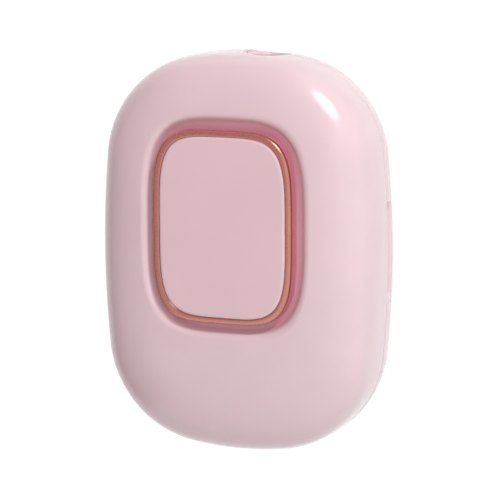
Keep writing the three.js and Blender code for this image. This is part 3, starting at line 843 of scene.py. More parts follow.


# The shell's pink, with painted shade low in the well from Housing.
SHELL_PINK = Housing("shell_pink", shade(229, 202, 207), roughness=0.4, glow=0.12, glow_depth=1.5 * MM,
                     coat=1.0, coat_roughness=0.12)
PANEL_PINK = Moulded("panel_pink", shade(230, 199, 204), roughness=0.36, relief=0.003 * MM, grain=0.25 * MM)
ROSE_GOLD = Metal("rose_gold", shade(200, 139, 122), roughness=0.24)
LINER_SILVER = Metal("liner_silver", shade(218, 220, 224), roughness=0.12, gloss_drift=0.04)
SOFT_PINK = Moulded("soft_pink", shade(221, 178, 186), roughness=0.62, relief=0.01 * MM, grain=0.15 * MM,
                    glow=0.2)
STEEL = Metal("screw_steel", shade(196, 197, 200), roughness=0.28)
DRAWN_STEEL = Metal("drawn_steel", shade(190, 192, 196), roughness=0.2, stretch=(1, 20, 1))
MAGNET_NICKEL = Metal("magnet_nickel", shade(203, 201, 194), roughness=0.16)
QUARTZ = Glass("window_quartz", (0.94, 0.96, 0.99), index=1.46)
BOARD_GREEN = Laminate("board_green", shade(38, 96, 66), shade(58, 122, 84), shade(196, 190, 172))
LAMP_CERAMIC = Moulded("lamp_ceramic", shade(236, 231, 218), roughness=0.4, relief=0.004 * MM, grain=0.1 * MM)
LAMP_GOLD = Metal("lamp_gold", shade(222, 180, 96), roughness=0.25)
SWITCH_BLACK = Moulded("switch_black", shade(40, 40, 44), roughness=0.45, relief=0.004 * MM, grain=0.2 * MM)
CELL_FOIL = Metal("cell_foil", shade(186, 190, 196), roughness=0.34, relief=0.02 * MM, grain=1.8 * MM)


def dressed(piece: Object, finish: Finish) -> None:
    """Gives a piece one finish all over."""
    piece.data.materials.clear()
    piece.data.materials.append(finish.material())


def enter(piece: Object, body: Body, slot: str, finish: Finish, *nodes: str) -> None:
    """Shades a new piece smooth apart from its creases, dresses it and enters it in the frame.

    Args:
        piece: The new object, in its place.
        body: The body that it rides on.
        slot: The record's material slot. It is not used.
        finish: What it is made of.
        nodes: The nodes of the frame that it is shown instead of.
    """
    piece.data.shade_smooth()
    piece.data.set_sharp_from_angle(angle=CREASE)
    dressed(piece, finish)
    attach(piece, body.value)
    if nodes:
        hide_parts(*nodes)
    LOG.info("%s rides on %s, %d faces", piece.name, body.value, len(piece.data.polygons))


# The case


@dataclass(frozen=True)
class CaseForm:
    """The sizes that both halves of the case share."""

    outline: Pebble = Pebble(36.3 * MM, 50 * MM, 260 * MM, 81 * MM, 26.7 * MM)
    parting: float = 18.5 * MM
    parting_gap: float = 0.3 * MM
    front_depth: float = 18.7 * MM
    front_fullness: float = 4.6
    rear_depth: float = 20 * MM
    rear_fullness: float = 2.42
    wall: float = 2 * MM
    edge_round: float = 0.22 * MM
    lip_width: float = 0.7 * MM
    lip_rise: float = 0.1 * MM

    @property
    def front(self) -> Dome:
        """The outer face of the front half."""
        return Dome(self.outline, self.parting, self.front_depth, self.front_fullness, 1)

    @property
    def rear(self) -> Dome:
        """The outer face of the rear half, before its back is cut flat."""
        return Dome(self.outline, self.parting, self.rear_depth, self.rear_fullness, -1)

    def rim(self, side: int) -> float:
        """The height of a half's rim."""
        return self.parting + side * self.parting_gap / 2

    def rim_rings(self, side: int) -> list[Ring]:
        """The rim from the inner wall to the outer face: flat, stepped down, and softened at the edge.

        Args:
            side: 1 for the front half, -1 for the rear half.

        Returns:
            The rings in order.
        """
        rim, soft = self.rim(side), self.edge_round
        lip = rim - side * self.lip_rise
        step = self.outline.grown(-self.lip_width)
        edge = self.outline.grown(-soft)
        return [flat(self.outline.grown(-self.wall), lip), flat(step, lip), flat(step, rim),
                flat(edge.grown(-soft), rim), *rolled(edge, rim + side * soft, soft, -QUARTER, 0, 5, side)]


@dataclass(frozen=True)
class NeckOpening:
    """The opening for the brush's neck, which both halves share."""

    x: float
    z: float
    end: float
    wall: float
    bore: float = 5 * MM
    flare: float = 1.0 * MM
    flare_start: float = 1.3 * MM
    flare_end: float = 0.6 * MM
    flare_stretch: float = 1.36
    seat_radius: float = 6.9 * MM
    seat_start: float = 43.75 * MM
    passage: float = 6 * MM
    boss_radius: float = 8.7 * MM
    boss_start: float = 43.6 * MM
    overrun: float = 4 * MM
    steps: int = 96

    def rod(self, radius: float, start: float, end: float) -> Mesh:
        """A rod round the opening's axis."""
        return rod(radius, (self.x, start, self.z), (self.x, end, self.z), self.steps)

    def along(self, profile: Sequence[tuple[float, float]]) -> Mesh:
        """Spins a profile of radius and place along Y round the opening's axis."""
        turn = Matrix.Rotation(-QUARTER, 4, "X")
        return placed(lathe(profile, self.steps), Matrix.Translation((self.x, 0, self.z)) @ turn)

    def bores(self) -> list[Mesh]:
        """What the opening takes out.

        Returns:
            The flared mouth, and the collar's seat with the passage behind it.
        """
        start, past, inner = self.boss_start - self.overrun, self.end + self.overrun, self.end - self.wall
        lip = [(self.bore + (1 + across) * self.flare,
                self.end - self.flare_start + along * (self.flare_start - self.flare_end))
               for across, along in arc(1.0, math.pi, QUARTER, 8)]
        mouth = [(0, start), (self.bore, start), *lip, (self.bore + self.flare, past), (0, past)]
        seat = [(0, start), (self.passage, start), (self.passage, self.seat_start),
                (self.seat_radius, self.seat_start), (self.seat_radius, inner), (0, inner)]
        return [self.stretched(self.along(mouth)), self.along(seat)]

    def stretched(self, mouth: Mesh) -> Mesh:
        """Draws the flare out towards the front and the back, so that it dips into both faces.

        Args:
            mouth: What the mouth takes out, which is changed in place.

        Returns:
            The same mesh.
        """
        for vert in mouth.verts:
            beyond = math.hypot(vert.co.x - self.x, vert.co.z - self.z) - self.bore
            share = min(max(beyond / self.flare, 0.0), 1.0)
            vert.co.z = self.z + (vert.co.z - self.z) * (1 + share * (self.flare_stretch - 1))
        return mouth


@dataclass(frozen=True)
class Hinge:
    """The hinge on the left side: a groove between the halves, and knuckles in turn on one and the other."""

    x: float
    z: float
    half_length: float
    wall: float
    knuckle_radius: float = 1.6 * MM
    pin_bore: float = 0.85 * MM
    groove_half_length: float = 28.9 * MM
    knuckles: int = 5
    gap: float = 0.4 * MM
    block_depth: float = 2.2 * MM
    block_height: float = 4 * MM
    swing: float = math.radians(114)
    overrun: float = 3 * MM
    end_round: float = 0.25 * MM

    @property
    def inner(self) -> float:
        """How far the thick wall behind the groove reaches inwards."""
        return self.x + self.knuckle_radius + self.block_depth - self.wall / 2

    def backing(self, dome: Dome, rim: float) -> Mesh:
        """The thick wall behind the groove, inside the outer face.

        Args:
            dome: The half's outer face.
            rim: The height of its rim.

        Returns:
            The solid.
        """
        low, high = sorted((rim, dome.parting + dome.side * self.block_height))
        half = self.groove_half_length
        whole = block((self.x - self.knuckle_radius, -half, low), (self.inner, half, high))
        return within(whole, dome.inset(self.wall / 2), rim)

    def groove(self) -> Mesh:
        """The wedge that lets the halves swing apart.

        Returns:
            The solid.
        """
        mesh = bmesh.new()
        reach = self.knuckle_radius + self.overrun
        rise = reach * math.tan(self.swing / 2)
        corners = [mesh.verts.new((self.x + x, -self.groove_half_length, self.z + z))
                   for x, z in ((0, 0), (-reach, rise), (-reach, -rise))]
        grown = bmesh.ops.extrude_face_region(mesh, geom=[mesh.faces.new(corners)])["geom"]
        moved = [item for item in grown if isinstance(item, bmesh.types.BMVert)]
        bmesh.ops.translate(mesh, vec=(0, 2 * self.groove_half_length, 0), verts=moved)
        bmesh.ops.recalc_face_normals(mesh, faces=mesh.faces)
        return mesh

    def fit(self, shell: Object, dome: Dome, rim: float) -> None:
        """Cuts the groove into a half and gives it its own knuckles.

        Args:
            shell: The half of the case.
            dome: Its outer face.
            rim: The height of its rim.
        """
        carve(shell, [self.backing(dome, rim)], Cut.JOIN)
        carve(shell, [self.groove()], Cut.REMOVE)
        length = 2 * self.half_length / self.knuckles
        for index in range(self.knuckles):
            start = -self.half_length + index * length
            radius, inset, rounding, how = self.knuckle_radius, self.gap / 2, self.end_round, Cut.JOIN
            if index % 2 == (dome.side < 0):
                radius, inset, rounding, how = radius + self.gap, -inset, 0.0, Cut.REMOVE
            barrel = rod(radius, (self.x, start + inset, self.z), (self.x, start + length - inset, self.z),
                         rounding=rounding)
            carve(shell, [barrel], how)
        past = self.half_length + self.overrun
        carve(shell, [rod(self.pin_bore, (self.x, -past, self.z), (self.x, past, self.z), 32)], Cut.REMOVE)


@dataclass(frozen=True)
class Well:
    """The soft well in the front face, with the plinth that carries the ring round the panel."""

    centre_y: float
    floor: float
    plinth: Oval
    plinth_inner: Oval
    plinth_top: float
    ring_sink: float = 0.3 * MM
    half_width: float = 22.6 * MM
    half_height: float = 28.4 * MM
    exponent: float = 3.6
    steepness: float = math.radians(65)
    edge_round: float = 2.2 * MM
    floor_fillet: float = 1.2 * MM
    plinth_fillet: float = 0.7 * MM
    plinth_edge: float = 0.1 * MM
    wall: float = 2 * MM
    plunger_bore: float = 3.4 * MM
    seal_radius: float = 5.7 * MM
    seal_depth: float = 1.0 * MM
    post_bore: float = 1.6 * MM
    post_spacing: float = 30 * MM

    @property
    def rim(self) -> Oval:
        """Where the rounded edge leaves the front face."""
        return Oval(self.half_width, self.half_height, self.exponent, 0.0, self.centre_y)

    @property
    def under(self) -> float:
        """The height of the underside of its floor."""
        return self.floor - self.wall

    def circle(self, radius: float, height: float) -> Ring:
        """A circle round the middle of the well."""
        return flat(Oval(radius, radius, 2.0, 0.0, self.centre_y), height)

    def hung(self, outline: Oval, dome: Dome, share: float) -> Ring:
        """A ring that lies a share of the way from the floor up to the front face above it."""
        return laid(outline.point, lambda place: self.floor + (dome.height(place) - self.floor) * share)

    def face_rings(self, dome: Dome) -> list[Ring]:
        """The rings from the rim down the S of the side, over the plinth and on to the plunger's hole.

        Args:
            dome: The front face.

        Returns:
            The rings in order.
        """
        depth = dome.parting + dome.depth - self.floor
        turn = self.steepness
        bend = self.edge_round + self.floor_fillet
        slope = (depth - bend * (1 - math.cos(turn))) / math.tan(turn)
        foot = self.rim.grown(-bend * math.sin(turn) - slope)
        upper = [self.hung(self.rim.grown(-across), dome, 1 - (self.edge_round - up) / depth)
                 for across, up in arc(self.edge_round, QUARTER, QUARTER - turn, 16)]
        lower = [self.hung(foot.grown(across), dome, (self.floor_fillet + up) / depth)
                 for across, up in arc(self.floor_fillet, turn - QUARTER, -QUARTER, 10)]
        rings = upper + spread(upper[-1], lower[0], 4) + lower + self.plinth_rings(lower[-1])
        seat, low = self.circle(self.seal_radius, self.floor), self.floor - self.seal_depth
        return rings + spread(rings[-1], seat, 6) + [
            seat, self.circle(self.seal_radius, low), self.circle(self.plunger_bore, low),
            self.circle(self.plunger_bore, self.under)]

    def plinth_rings(self, foot: Ring) -> list[Ring]:
        """The rings that sweep up from the foot of the side to the plinth, over its top and down inside it.

        Args:
            foot: The foot of the well's side.

        Returns:
            The rings in order.
        """
        side, soft, top = flat(self.plinth, self.floor), self.plinth_edge, self.plinth_top
        sweep = [raised(between(foot, side, across), (1 + up) * self.plinth_fillet)
                 for across, up in arc(1.0, -QUARTER, 0, 8)[1:]]
        return [*sweep, *rolled(self.plinth.grown(-soft), top - soft, soft, 0, QUARTER, 3),
                flat(self.plinth_inner, top), flat(self.plinth_inner, self.floor)]


@dataclass
class Half:
    """What both halves of the case share."""

    form: CaseForm
    hinge: Hinge
    neck: NeckOpening

    def open_up(self, shell: Object, dome: Dome) -> None:
        """Gives a half its share of the hinge and of the neck opening.

        Args:
            shell: The half of the case.
            dome: Its outer face.
        """
        neck, rim = self.neck, self.form.rim(dome.side)
        boss = neck.rod(neck.boss_radius, neck.boss_start, neck.end)
        carve(shell, [within(boss, dome.inset(self.form.wall / 2), rim)], Cut.JOIN)
        self.hinge.fit(shell, dome, rim)
        carve(shell, neck.bores(), Cut.REMOVE)


@dataclass
class FrontHousing(Half):
    """The front half of the case, which is the lid."""

    well: Well
    inlet: "Inlet"
    dome_rings: int = 34
    face_start: float = 0.84
    face_rings: int = 14
    steps: int = 384

    def rings(self) -> list[Ring]:
        """The rings of the half: over the outer face, into the well, under its floor and back inside.

        Returns:
            The rings in order.
        """
        form, well, dome = self.form, self.well, self.form.front
        inner = dome.inset(form.wall)
        rim = form.rim_rings(1)
        shoulder = dome.rings(form.rim(1) + form.edge_round, self.face_start, self.dome_rings)
        well_edge = well.face_rings(dome)
        face = [laid(ring, dome.height) for ring in spread(shoulder[-1], well_edge[0], self.face_rings)]
        underside = flat(well.rim, well.under)
        top = laid(well.rim.point, inner.height)
        inside = [laid(ring, inner.height) for ring in spread(top, inner.ring(self.face_start, 0.0), 6)]
        inside += inner.rings(form.rim(1), self.face_start, 14)[::-1]
        floor = spread(well_edge[-1], underside, 3)
        return [*rim, *shoulder[1:], *face, *well_edge, *floor, underside, top, *inside, rim[0]]

    def build(self) -> None:
        """Makes the half and cuts its hinge, neck opening, inlet and holes."""
        well = self.well
        shell = as_object("front_housing", loft(self.rings(), self.steps))
        self.open_up(shell, self.form.front)
        posts = [upright(well.post_bore, Vector((0, well.centre_y + side * well.post_spacing / 2)),
                         well.floor - 2 * well.wall, well.floor + well.wall, 32) for side in (-1, 1)]
        carve(shell, posts + [self.inlet.room()], Cut.REMOVE)
        enter(shell, Body.LID, "shell", SHELL_PINK, "front_shell")


@dataclass(frozen=True)
class Scoop:
    """The shallow slot for a finger in the right edge of the rear half."""

    parting: float
    centre_y: float = 0.9 * MM
    half_length: float = 12.8 * MM
    height: float = 4.2 * MM
    depth: float = 1.4 * MM
    edge: float = 1.3 * MM
    backing: float = 1.6 * MM

    def pressed(self, ring: Ring, margin: float = 0.0) -> Ring:
        """A ring whose right side is pressed in at the slot, which a margin makes longer and higher."""
        return changed(ring, lambda place: Vector((place.x - self.hollow(place, margin), place.y, place.z)))

    def hollow(self, place: Vector, margin: float) -> float:
        """How far a point is pressed in, with an eased edge and round corners.

        Args:
            place: The point.
            margin: How much further the slot reaches along and down the side.

        Returns:
            The distance, which is 0 outside the slot.
        """
        if place.x <= 0:
            return 0.0
        along = self.half_length + margin - abs(place.y - self.centre_y)
        down = self.height + margin - (self.parting - place.z)
        radius = self.edge * 2
        if along < radius and down < radius:
            inside = radius - math.hypot(radius - along, radius - down)
        else:
            inside = min(along, down)
        share = min(max(inside / self.edge, 0.0), 1.0)
        eased = share * share * (3 - 2 * share)
        return self.depth * eased


@dataclass
class RearHousing(Half):
    """The rear half of the case: a deep bowl with a flat back and the finger scoop in its right edge."""

    scoop: Scoop
    steps: int = 560
    scoop_rings: int = 22
    bowl_rings: int = 26
    pole_level: float = 0.1
    back_blend: float = 0.25 * MM

    def settled(self, place: Vector) -> float:
        """The height of a point once the back is flat.

        Args:
            place: The point on the dome.

        Returns:
            Its height, brought up to the back plane with a soft edge.
        """
        soft = self.back_blend
        if place.z < -soft:
            return 0.0
        return place.z if place.z >= soft else (place.z + soft) ** 2 / (4 * soft)

    def rings(self) -> list[Ring]:
        """The rings of the half: from the middle of its back out to the rim and back inside.

        Returns:
            The rings in order.
        """
        form, scoop, dome = self.form, self.scoop, self.form.rear
        start = form.rim(-1) - form.edge_round
        low = start - scoop.height - scoop.edge
        heights = [start + (low - start) * index / (self.scoop_rings - 1)
                   for index in range(self.scoop_rings)]
        outer = [dome.ring(dome.level_at(height), height) for height in heights]
        outer += dome.rings(low, self.pole_level, self.bowl_rings)[1:]
        outer = [laid(scoop.pressed(ring), self.settled) for ring in outer]
        rim = [scoop.pressed(ring) for ring in form.rim_rings(-1)]
        bowl = dome.inset(form.wall).rings(form.rim(-1), self.pole_level, self.bowl_rings)
        inner = [laid(scoop.pressed(ring, scoop.backing), lambda place: max(place.z, form.wall))
                 for ring in bowl]
        return [middle(0, 0, 0), *outer[::-1], *rim[::-1][1:], *inner[1:], middle(0, 0, form.wall)]

    def build(self) -> None:
        """Makes the half and cuts its hinge and neck opening."""
        shell = as_object("rear_housing", loft(self.rings(), self.steps))
        self.open_up(shell, self.form.rear)
        enter(shell, Body.BASE, "shell", SHELL_PINK, "rear_shell")


@dataclass
class FrontPanel:
    """The large front panel and the rose-gold ring round it."""

    oval: Oval
    ring_oval: Oval
    ring_top: float
    ring_foot: float
    panel_top: float
    post_centre: float
    plunger_foot: float
    ring_height: float = 1.45 * MM
    ring_lift: float = 0.03 * MM
    ring_overhang: float = 0.06 * MM
    ring_width: float = 1.7 * MM
    ring_round: float = 0.7 * MM
    ring_inner_round: float = 0.2 * MM
    ring_lean: float = math.radians(1)
    panel_lower: float = 0.14 * MM
    panel_gap: float = 0.07 * MM
    panel_thickness: float = 1.6 * MM
    panel_edge: float = 0.8 * MM
    panel_edge_drop: float = 0.32 * MM
    skirt: float = 1.2 * MM
    plunger_gap: float = 0.15 * MM
    plunger_radius: float = 3 * MM
    post_radius: float = 1.3 * MM
    post_taper: float = 0.7
    barb_radius: float = 1.9 * MM
    barb_height: float = 1.2 * MM
    barb_start: float = 0.7
    barb_end: float = 0.85
    post_spacing: float = 30 * MM
    steps: int = 320

    def ring(self) -> None:
        """Makes the ring: a band whose top leans outwards a little, with a soft outer edge."""
        turn, outer, inner = QUARTER - self.ring_lean, self.ring_round, self.ring_inner_round
        run = self.ring_width - outer - inner + (outer - inner) * math.sin(self.ring_lean)
        shoulder = (self.ring_top - inner - (outer - inner) * math.cos(self.ring_lean)
                    - run * math.tan(self.ring_lean))
        foot = flat(self.oval, self.ring_foot)
        rings = [foot, flat(self.ring_oval, self.ring_foot),
                 *rolled(self.ring_oval.grown(-outer), shoulder, outer, 0, turn, 8),
                 *rolled(self.oval.grown(inner), self.ring_top - inner, inner, turn, math.pi, 5), foot]
        enter(as_object("ring_trim", loft(rings, self.steps)), Body.LID, "bezel", ROSE_GOLD, "bezel_ring")

    def panel(self) -> None:
        """Makes the panel: a shallow tray with a plunger in the middle and two barbed posts."""
        edge, top, centre_y = self.oval.grown(-self.panel_gap), self.panel_top, self.post_centre
        pole, face = middle(0, centre_y, top), flat(edge.grown(-self.panel_edge), top)
        rolled_edge = [flat(edge.grown((across - 1) * self.panel_edge), top + (up - 1) * self.panel_edge_drop)
                       for across, up in arc(1.0, QUARTER, 0, 10)]
        under = top - self.panel_thickness
        foot = under - self.skirt
        inner = edge.grown(-self.panel_thickness)
        made = as_object("front_panel", loft(
            [pole, *spread(pole, face, 12), *rolled_edge, flat(edge, foot), flat(inner, foot),
             flat(inner, under), middle(0, centre_y, under)], self.steps))
        deep = top - self.panel_thickness / 2
        tip = self.plunger_foot - self.barb_height
        start, end = (tip + self.barb_height * share for share in (self.barb_start, self.barb_end))
        profile = [(0, tip), (self.post_radius * self.post_taper, tip), (self.barb_radius, start),
                   (self.barb_radius, end), (self.post_radius, end), (self.post_radius, deep), (0, deep)]
        places = [centre_y + side * self.post_spacing / 2 for side in (-1, 1)]
        posts = [placed(lathe(profile, 40), Matrix.Translation((0, y, 0))) for y in places]
        plunger = upright(self.plunger_radius, Vector((0, centre_y)), self.plunger_foot, deep, 64)
        carve(made, [plunger, *posts], Cut.JOIN)
        enter(made, Body.BUTTON, "panel", PANEL_PINK, "button_panel")


@dataclass
class Inlet:
    """The charging inlet in the lower end of the lid: a drawn steel shell, a tongue and its contacts."""

    mouth: float
    back: float
    half_width: float
    radius: float
    centre_z: float
    shell: float = 0.3 * MM
    mouth_round: float = 0.12 * MM
    floor: float = 1.2 * MM
    clearance: float = 0.3 * MM
    overrun: float = 3 * MM
    tongue_half_width: float = 3.3 * MM
    tongue_thickness: float = 0.7 * MM
    tongue_round: float = 0.12 * MM
    tongue_short: float = 0.9 * MM
    contacts: int = 12
    contact_width: float = 0.25 * MM
    contact_pitch: float = 0.5 * MM
    contact_rise: float = 0.05 * MM
    steps: int = 96

    def ring(self, y: float, grow: float = 0.0) -> Ring:
        """The shell's outline.

        Args:
            y: Its place along Y.
            grow: How much larger it is all round.

        Returns:
            The ring.
        """
        reach, radius = self.half_width - self.radius, self.radius + grow
        return lambda turn: Vector((math.copysign(reach, math.cos(turn)) + radius * math.cos(turn), y,
                                    self.centre_z + radius * math.sin(turn)))

    def room(self) -> Mesh:
        """What the inlet takes out of the lid's wall.

        Returns:
            The solid.
        """
        near, far, shut = self.mouth - self.overrun, self.mouth + self.overrun, -self.radius
        return loft([self.ring(near, shut), self.ring(near, self.clearance), self.ring(far, self.clearance),
                     self.ring(far, shut)], self.steps)

    def build(self) -> None:
        """Makes the shell, its tongue and the contacts."""
        soft, floor, edge = self.mouth_round, self.back - self.floor, self.mouth + self.mouth_round
        rings = [self.ring(self.back, -self.radius), self.ring(self.back, -soft), self.ring(self.back - soft)]
        rings += [self.ring(edge - along, across - soft) for across, along in arc(soft, 0, QUARTER, 4)]
        rings += [self.ring(edge - along, across - self.shell + soft)
                  for across, along in arc(soft, QUARTER, math.pi, 4)]
        rings += [self.ring(floor, -self.shell), self.ring(floor, -self.radius)]
        enter(as_object("inlet_shell", loft(rings, self.steps)), Body.LID, "steel", DRAWN_STEEL,
              "charging_socket")
        wide, half = self.tongue_half_width, self.tongue_thickness / 2
        tongue = block((-wide, self.mouth + self.tongue_short, self.centre_z - half),
                       (wide, floor + self.shell, self.centre_z + half), self.tongue_round)
        enter(as_object("inlet_tongue", tongue), Body.LID, "switch", SWITCH_BLACK)
        row, start = bmesh.new(), self.mouth + 2 * self.tongue_short
        for index in range(self.contacts):
            x = (index - (self.contacts - 1) / 2) * self.contact_pitch
            for face in (self.centre_z - half, self.centre_z + half):
                block((x - self.contact_width / 2, start, face - self.contact_rise),
                      (x + self.contact_width / 2, floor, face + self.contact_rise), mesh=row)
        enter(as_object("inlet_contacts", row), Body.LID, "steel", LAMP_GOLD)


def boxes(name: str, count: int) -> list[Box]:
    """The low and high corners of repeated nodes."""
    return [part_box(f"{name}_{number}") for number in range(1, count + 1)]


def middles(name: str, count: int) -> list[Vector]:
    """The middles of repeated nodes."""
    return [(low + high) / 2 for low, high in boxes(name, count)]


@dataclass
class Liners:
    """The two bright liners, which together form the chamber round the brush's head."""

    form: CaseForm
    hinge: Hinge
    neck: NeckOpening
    scoop: Scoop
    half_width: float = 24 * MM
    half_height: float = 37 * MM
    exponent: float = 3.1
    centre_y: float = 0.5 * MM
    thickness: float = 1.2 * MM
    rim_gap: float = 0.8 * MM
    floor_fillet: float = 6.8 * MM
    ceiling_fillet: float = 2.5 * MM
    edge_round: float = 0.35 * MM
    gap: float = 0.3 * MM
    rib_count: int = 5
    rib_pitch: float = 10 * MM
    rib_half_length: float = 13 * MM
    rib_half_width: float = 0.8 * MM
    rib_height: float = 0.9 * MM
    cup_wall: float = 0.6 * MM
    bore: float = 1.1 * MM
    counterbore: float = 1.9 * MM
    counterbore_depth: float = 0.8 * MM
    flange_offset: float = 0.3 * MM
    standoff_radius: float = 2.2 * MM
    window_ledge: float = 1.2 * MM
    overrun: float = 3 * MM
    steps: int = 256

    def chamber(self, grow: float = 0.0) -> Oval:
        """The chamber's outline, grown by a distance."""
        return Oval(self.half_width + grow, self.half_height + grow, self.exponent, 0.0, self.centre_y)

    def turned_edge(self, outline: Pebble | Oval, top: float, side: int) -> list[Ring]:
        """Rings that turn over a flat edge, from its face to its side. Side is -1 if the face looks down."""
        soft = self.edge_round
        return rolled(outline.grown(-soft), top - side * soft, soft, QUARTER, 0, 5, side)

    def flange(self, half: str, side: int) -> tuple[float, list[Ring]]:
        """The flange along the parting.

        Args:
            half: Which liner it belongs to: front or rear.
            side: 1 if its back lies above its face, -1 if it lies below.

        Returns:
            The height of its face, and the rings round its edge from its face to its back.
        """
        face = self.form.parting + side * self.flange_offset
        plate = self.form.outline.grown(-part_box(f"{half}_liner")[0].y - self.form.outline.half_height)
        back = self.turned_edge(plate, face + side * self.thickness, side)
        return face, self.turned_edge(plate, face, -side) + back[::-1]

    def fastenings(self, face: float, side: int, half: str) -> tuple[list[Mesh], list[Mesh]]:
        """The magnet cups of a flange, and every hole in it.

        Args:
            face: The height of the flange's face at the parting.
            side: 1 for the lid's liner, whose flange rises from its face, and -1 for the base's.
            half: Which liner it belongs to: front or rear.

        Returns:
            The cups, and what is bored out.
        """
        back, past = face + side * self.thickness, side * self.overrun
        cups, bores = [], []
        for low, high in boxes(f"{half}_magnet", 2):
            radius, place = (high.x - low.x) / 2 + self.gap, (low + high) / 2
            deep = high.z if side > 0 else low.z
            cups.append(upright(radius + self.cup_wall, place, (face + back) / 2, deep))
            bores.append(upright(radius, place, back, deep + past))
        for place in middles(f"{half}_liner_screw", 4):
            bores.append(upright(self.bore, place, face - past, back + past, 32))
            bores.append(upright(self.counterbore, place, face - past, face + side * self.counterbore_depth))
        return cups, bores

    def rooms(self) -> list[Mesh]:
        """The room for the hinge's backing and for the neck, which both liners leave.

        Returns:
            The solids.
        """
        form, hinge, neck, gap = self.form, self.hinge, self.neck, self.gap
        half, high = hinge.groove_half_length + gap, 2 * hinge.block_height
        return [block((-form.outline.half_width, -half, form.parting - high),
                      (hinge.inner + gap, half, form.parting + high)),
                neck.rod(neck.boss_radius + gap, neck.boss_start - gap, neck.end),
                neck.rod(neck.passage, 0, neck.end)]

    def base(self) -> None:
        """Makes the base's liner: a bowl with ribs across its floor and a raised rim."""
        low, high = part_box("rear_liner")
        fillet, wall, soft, rim = self.floor_fillet, self.thickness, self.edge_round, high.z
        under, floor, outer = low.z, low.z + wall, fillet + wall
        face, flange = self.flange("rear", -1)
        rings = [middle(0, self.centre_y, floor),
                 *rolled(self.chamber(-fillet), floor + fillet, fillet, -QUARTER, 0, 14),
                 *rolled(self.chamber(soft), rim - soft, soft, math.pi, QUARTER, 4),
                 *self.turned_edge(self.chamber(wall), rim, 1), flat(self.chamber(wall), face),
                 *(self.scoop.pressed(ring, self.scoop.backing + self.gap) for ring in flange),
                 flat(self.chamber(wall), face - wall),
                 *rolled(self.chamber(-fillet), under + outer, outer, 0, -QUARTER, 14),
                 middle(0, self.centre_y, under)]
        liner = as_object("base_liner", loft(rings, self.steps))
        ribs = []
        for index in range(self.rib_count):
            y = self.centre_y + (index - (self.rib_count - 1) / 2) * self.rib_pitch
            ribs.append(block((-self.rib_half_length, y - self.rib_half_width, floor - wall / 2),
                              (self.rib_half_length, y + self.rib_half_width, floor + self.rib_height), soft))
        cups, bores = self.fastenings(face, -1, "rear")
        carve(liner, ribs + cups, Cut.JOIN)
        carve(liner, bores + self.rooms(), Cut.REMOVE)
        enter(liner, Body.BASE, "liner", LINER_SILVER, "rear_liner")

    def lid(self) -> None:
        """Makes the lid's liner: a shallow tray with the lamps' window in its ceiling."""
        low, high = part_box("uv_window")
        wall, fillet, soft = self.thickness, self.ceiling_fillet, self.edge_round
        top, grow, outer = low.z - self.gap, wall + self.rim_gap, fillet + wall
        ceiling = top - wall
        face, flange = self.flange("front", 1)
        rings = [middle(0, self.centre_y, ceiling),
                 *rolled(self.chamber(grow - fillet), ceiling - fillet, fillet, QUARTER, 0, 10),
                 *rolled(self.chamber(grow + soft), face + soft, soft, math.pi, 3 * QUARTER, 4),
                 *flange, flat(self.chamber(grow + wall), face + wall),
                 *rolled(self.chamber(grow - fillet), top - outer, outer, 0, QUARTER, 10),
                 middle(0, self.centre_y, top)]
        liner = as_object("lid_liner", loft(rings, self.steps))
        board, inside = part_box("main_board")[0].z, ceiling + wall / 2
        screws = middles("board_screw", 2)
        posts = [upright(self.standoff_radius, place, inside, board - self.gap) for place in screws]
        holes = [upright(self.bore, place, inside, board, 32) for place in screws]
        cups, bores = self.fastenings(face, 1, "front")
        carve(liner, [self.window(low, high, self.gap + wall, inside, high.z), *posts, *cups], Cut.JOIN)
        seat = self.window(low, high, self.gap, top, high.z + self.overrun)
        opening = self.window(low, high, -self.window_ledge, ceiling - self.overrun, top + self.overrun)
        carve(liner, [seat, opening, *holes, *bores, *self.rooms()], Cut.REMOVE)
        enter(liner, Body.LID, "liner", LINER_SILVER, "front_liner")

    @staticmethod
    def window(low: Vector, high: Vector, grow: float, start: float, end: float) -> Mesh:
        """A box round the window's outline, grown by a distance, from one height to another."""
        return block((low.x - grow, low.y - grow, start), (high.x + grow, high.y + grow, end))


@dataclass
class NeckCollars:
    """The two soft half collars that close the neck opening round the brush."""

    lip: float = 0.6 * MM
    bore: float = 3.4 * MM
    edge: float = 0.25 * MM
    lip_steps: int = 12
    steps: int = 96

    def build(self, name: str, node: str, body: Body) -> None:
        """Makes a half collar in the place of its node.

        Args:
            name: The name of the piece.
            node: The node of the frame that it stands for.
            body: The body that it rides on.
        """
        low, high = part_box(node)
        x, radius, wide, edge = (low.x + high.x) / 2, (high.x - low.x) / 2, self.bore + self.lip, self.edge
        above = body is Body.LID
        cut, axis_z, facing = (low.z, high.z - radius, -1) if above else (high.z, low.z + radius, 1)
        start, end = low.y, high.y
        profile = [(wide, start), (radius - edge, start), (radius, start + edge), (radius, end - edge),
                   (radius - edge, end), (wide, end)]
        for index in range(1, self.lip_steps):
            share = index / self.lip_steps
            profile.append((wide - self.lip * math.sin(math.pi * share) ** 2, end + (start - end) * share))
        mesh = lathe(profile + profile[:1], self.steps)
        placed(mesh, Matrix.Translation((x, 0, axis_z)) @ Matrix.Rotation(-QUARTER, 4, "X"))
        bmesh.ops.bisect_plane(mesh, geom=[*mesh.verts, *mesh.edges, *mesh.faces],
                               plane_co=(x, start, cut), plane_no=(0, 0, facing), clear_outer=True)
        bmesh.ops.holes_fill(mesh, edges=[item for item in mesh.edges if item.is_boundary])
        bmesh.ops.recalc_face_normals(mesh, faces=mesh.faces)
        enter(as_object(name, mesh), body, "soft", SOFT_PINK, node)


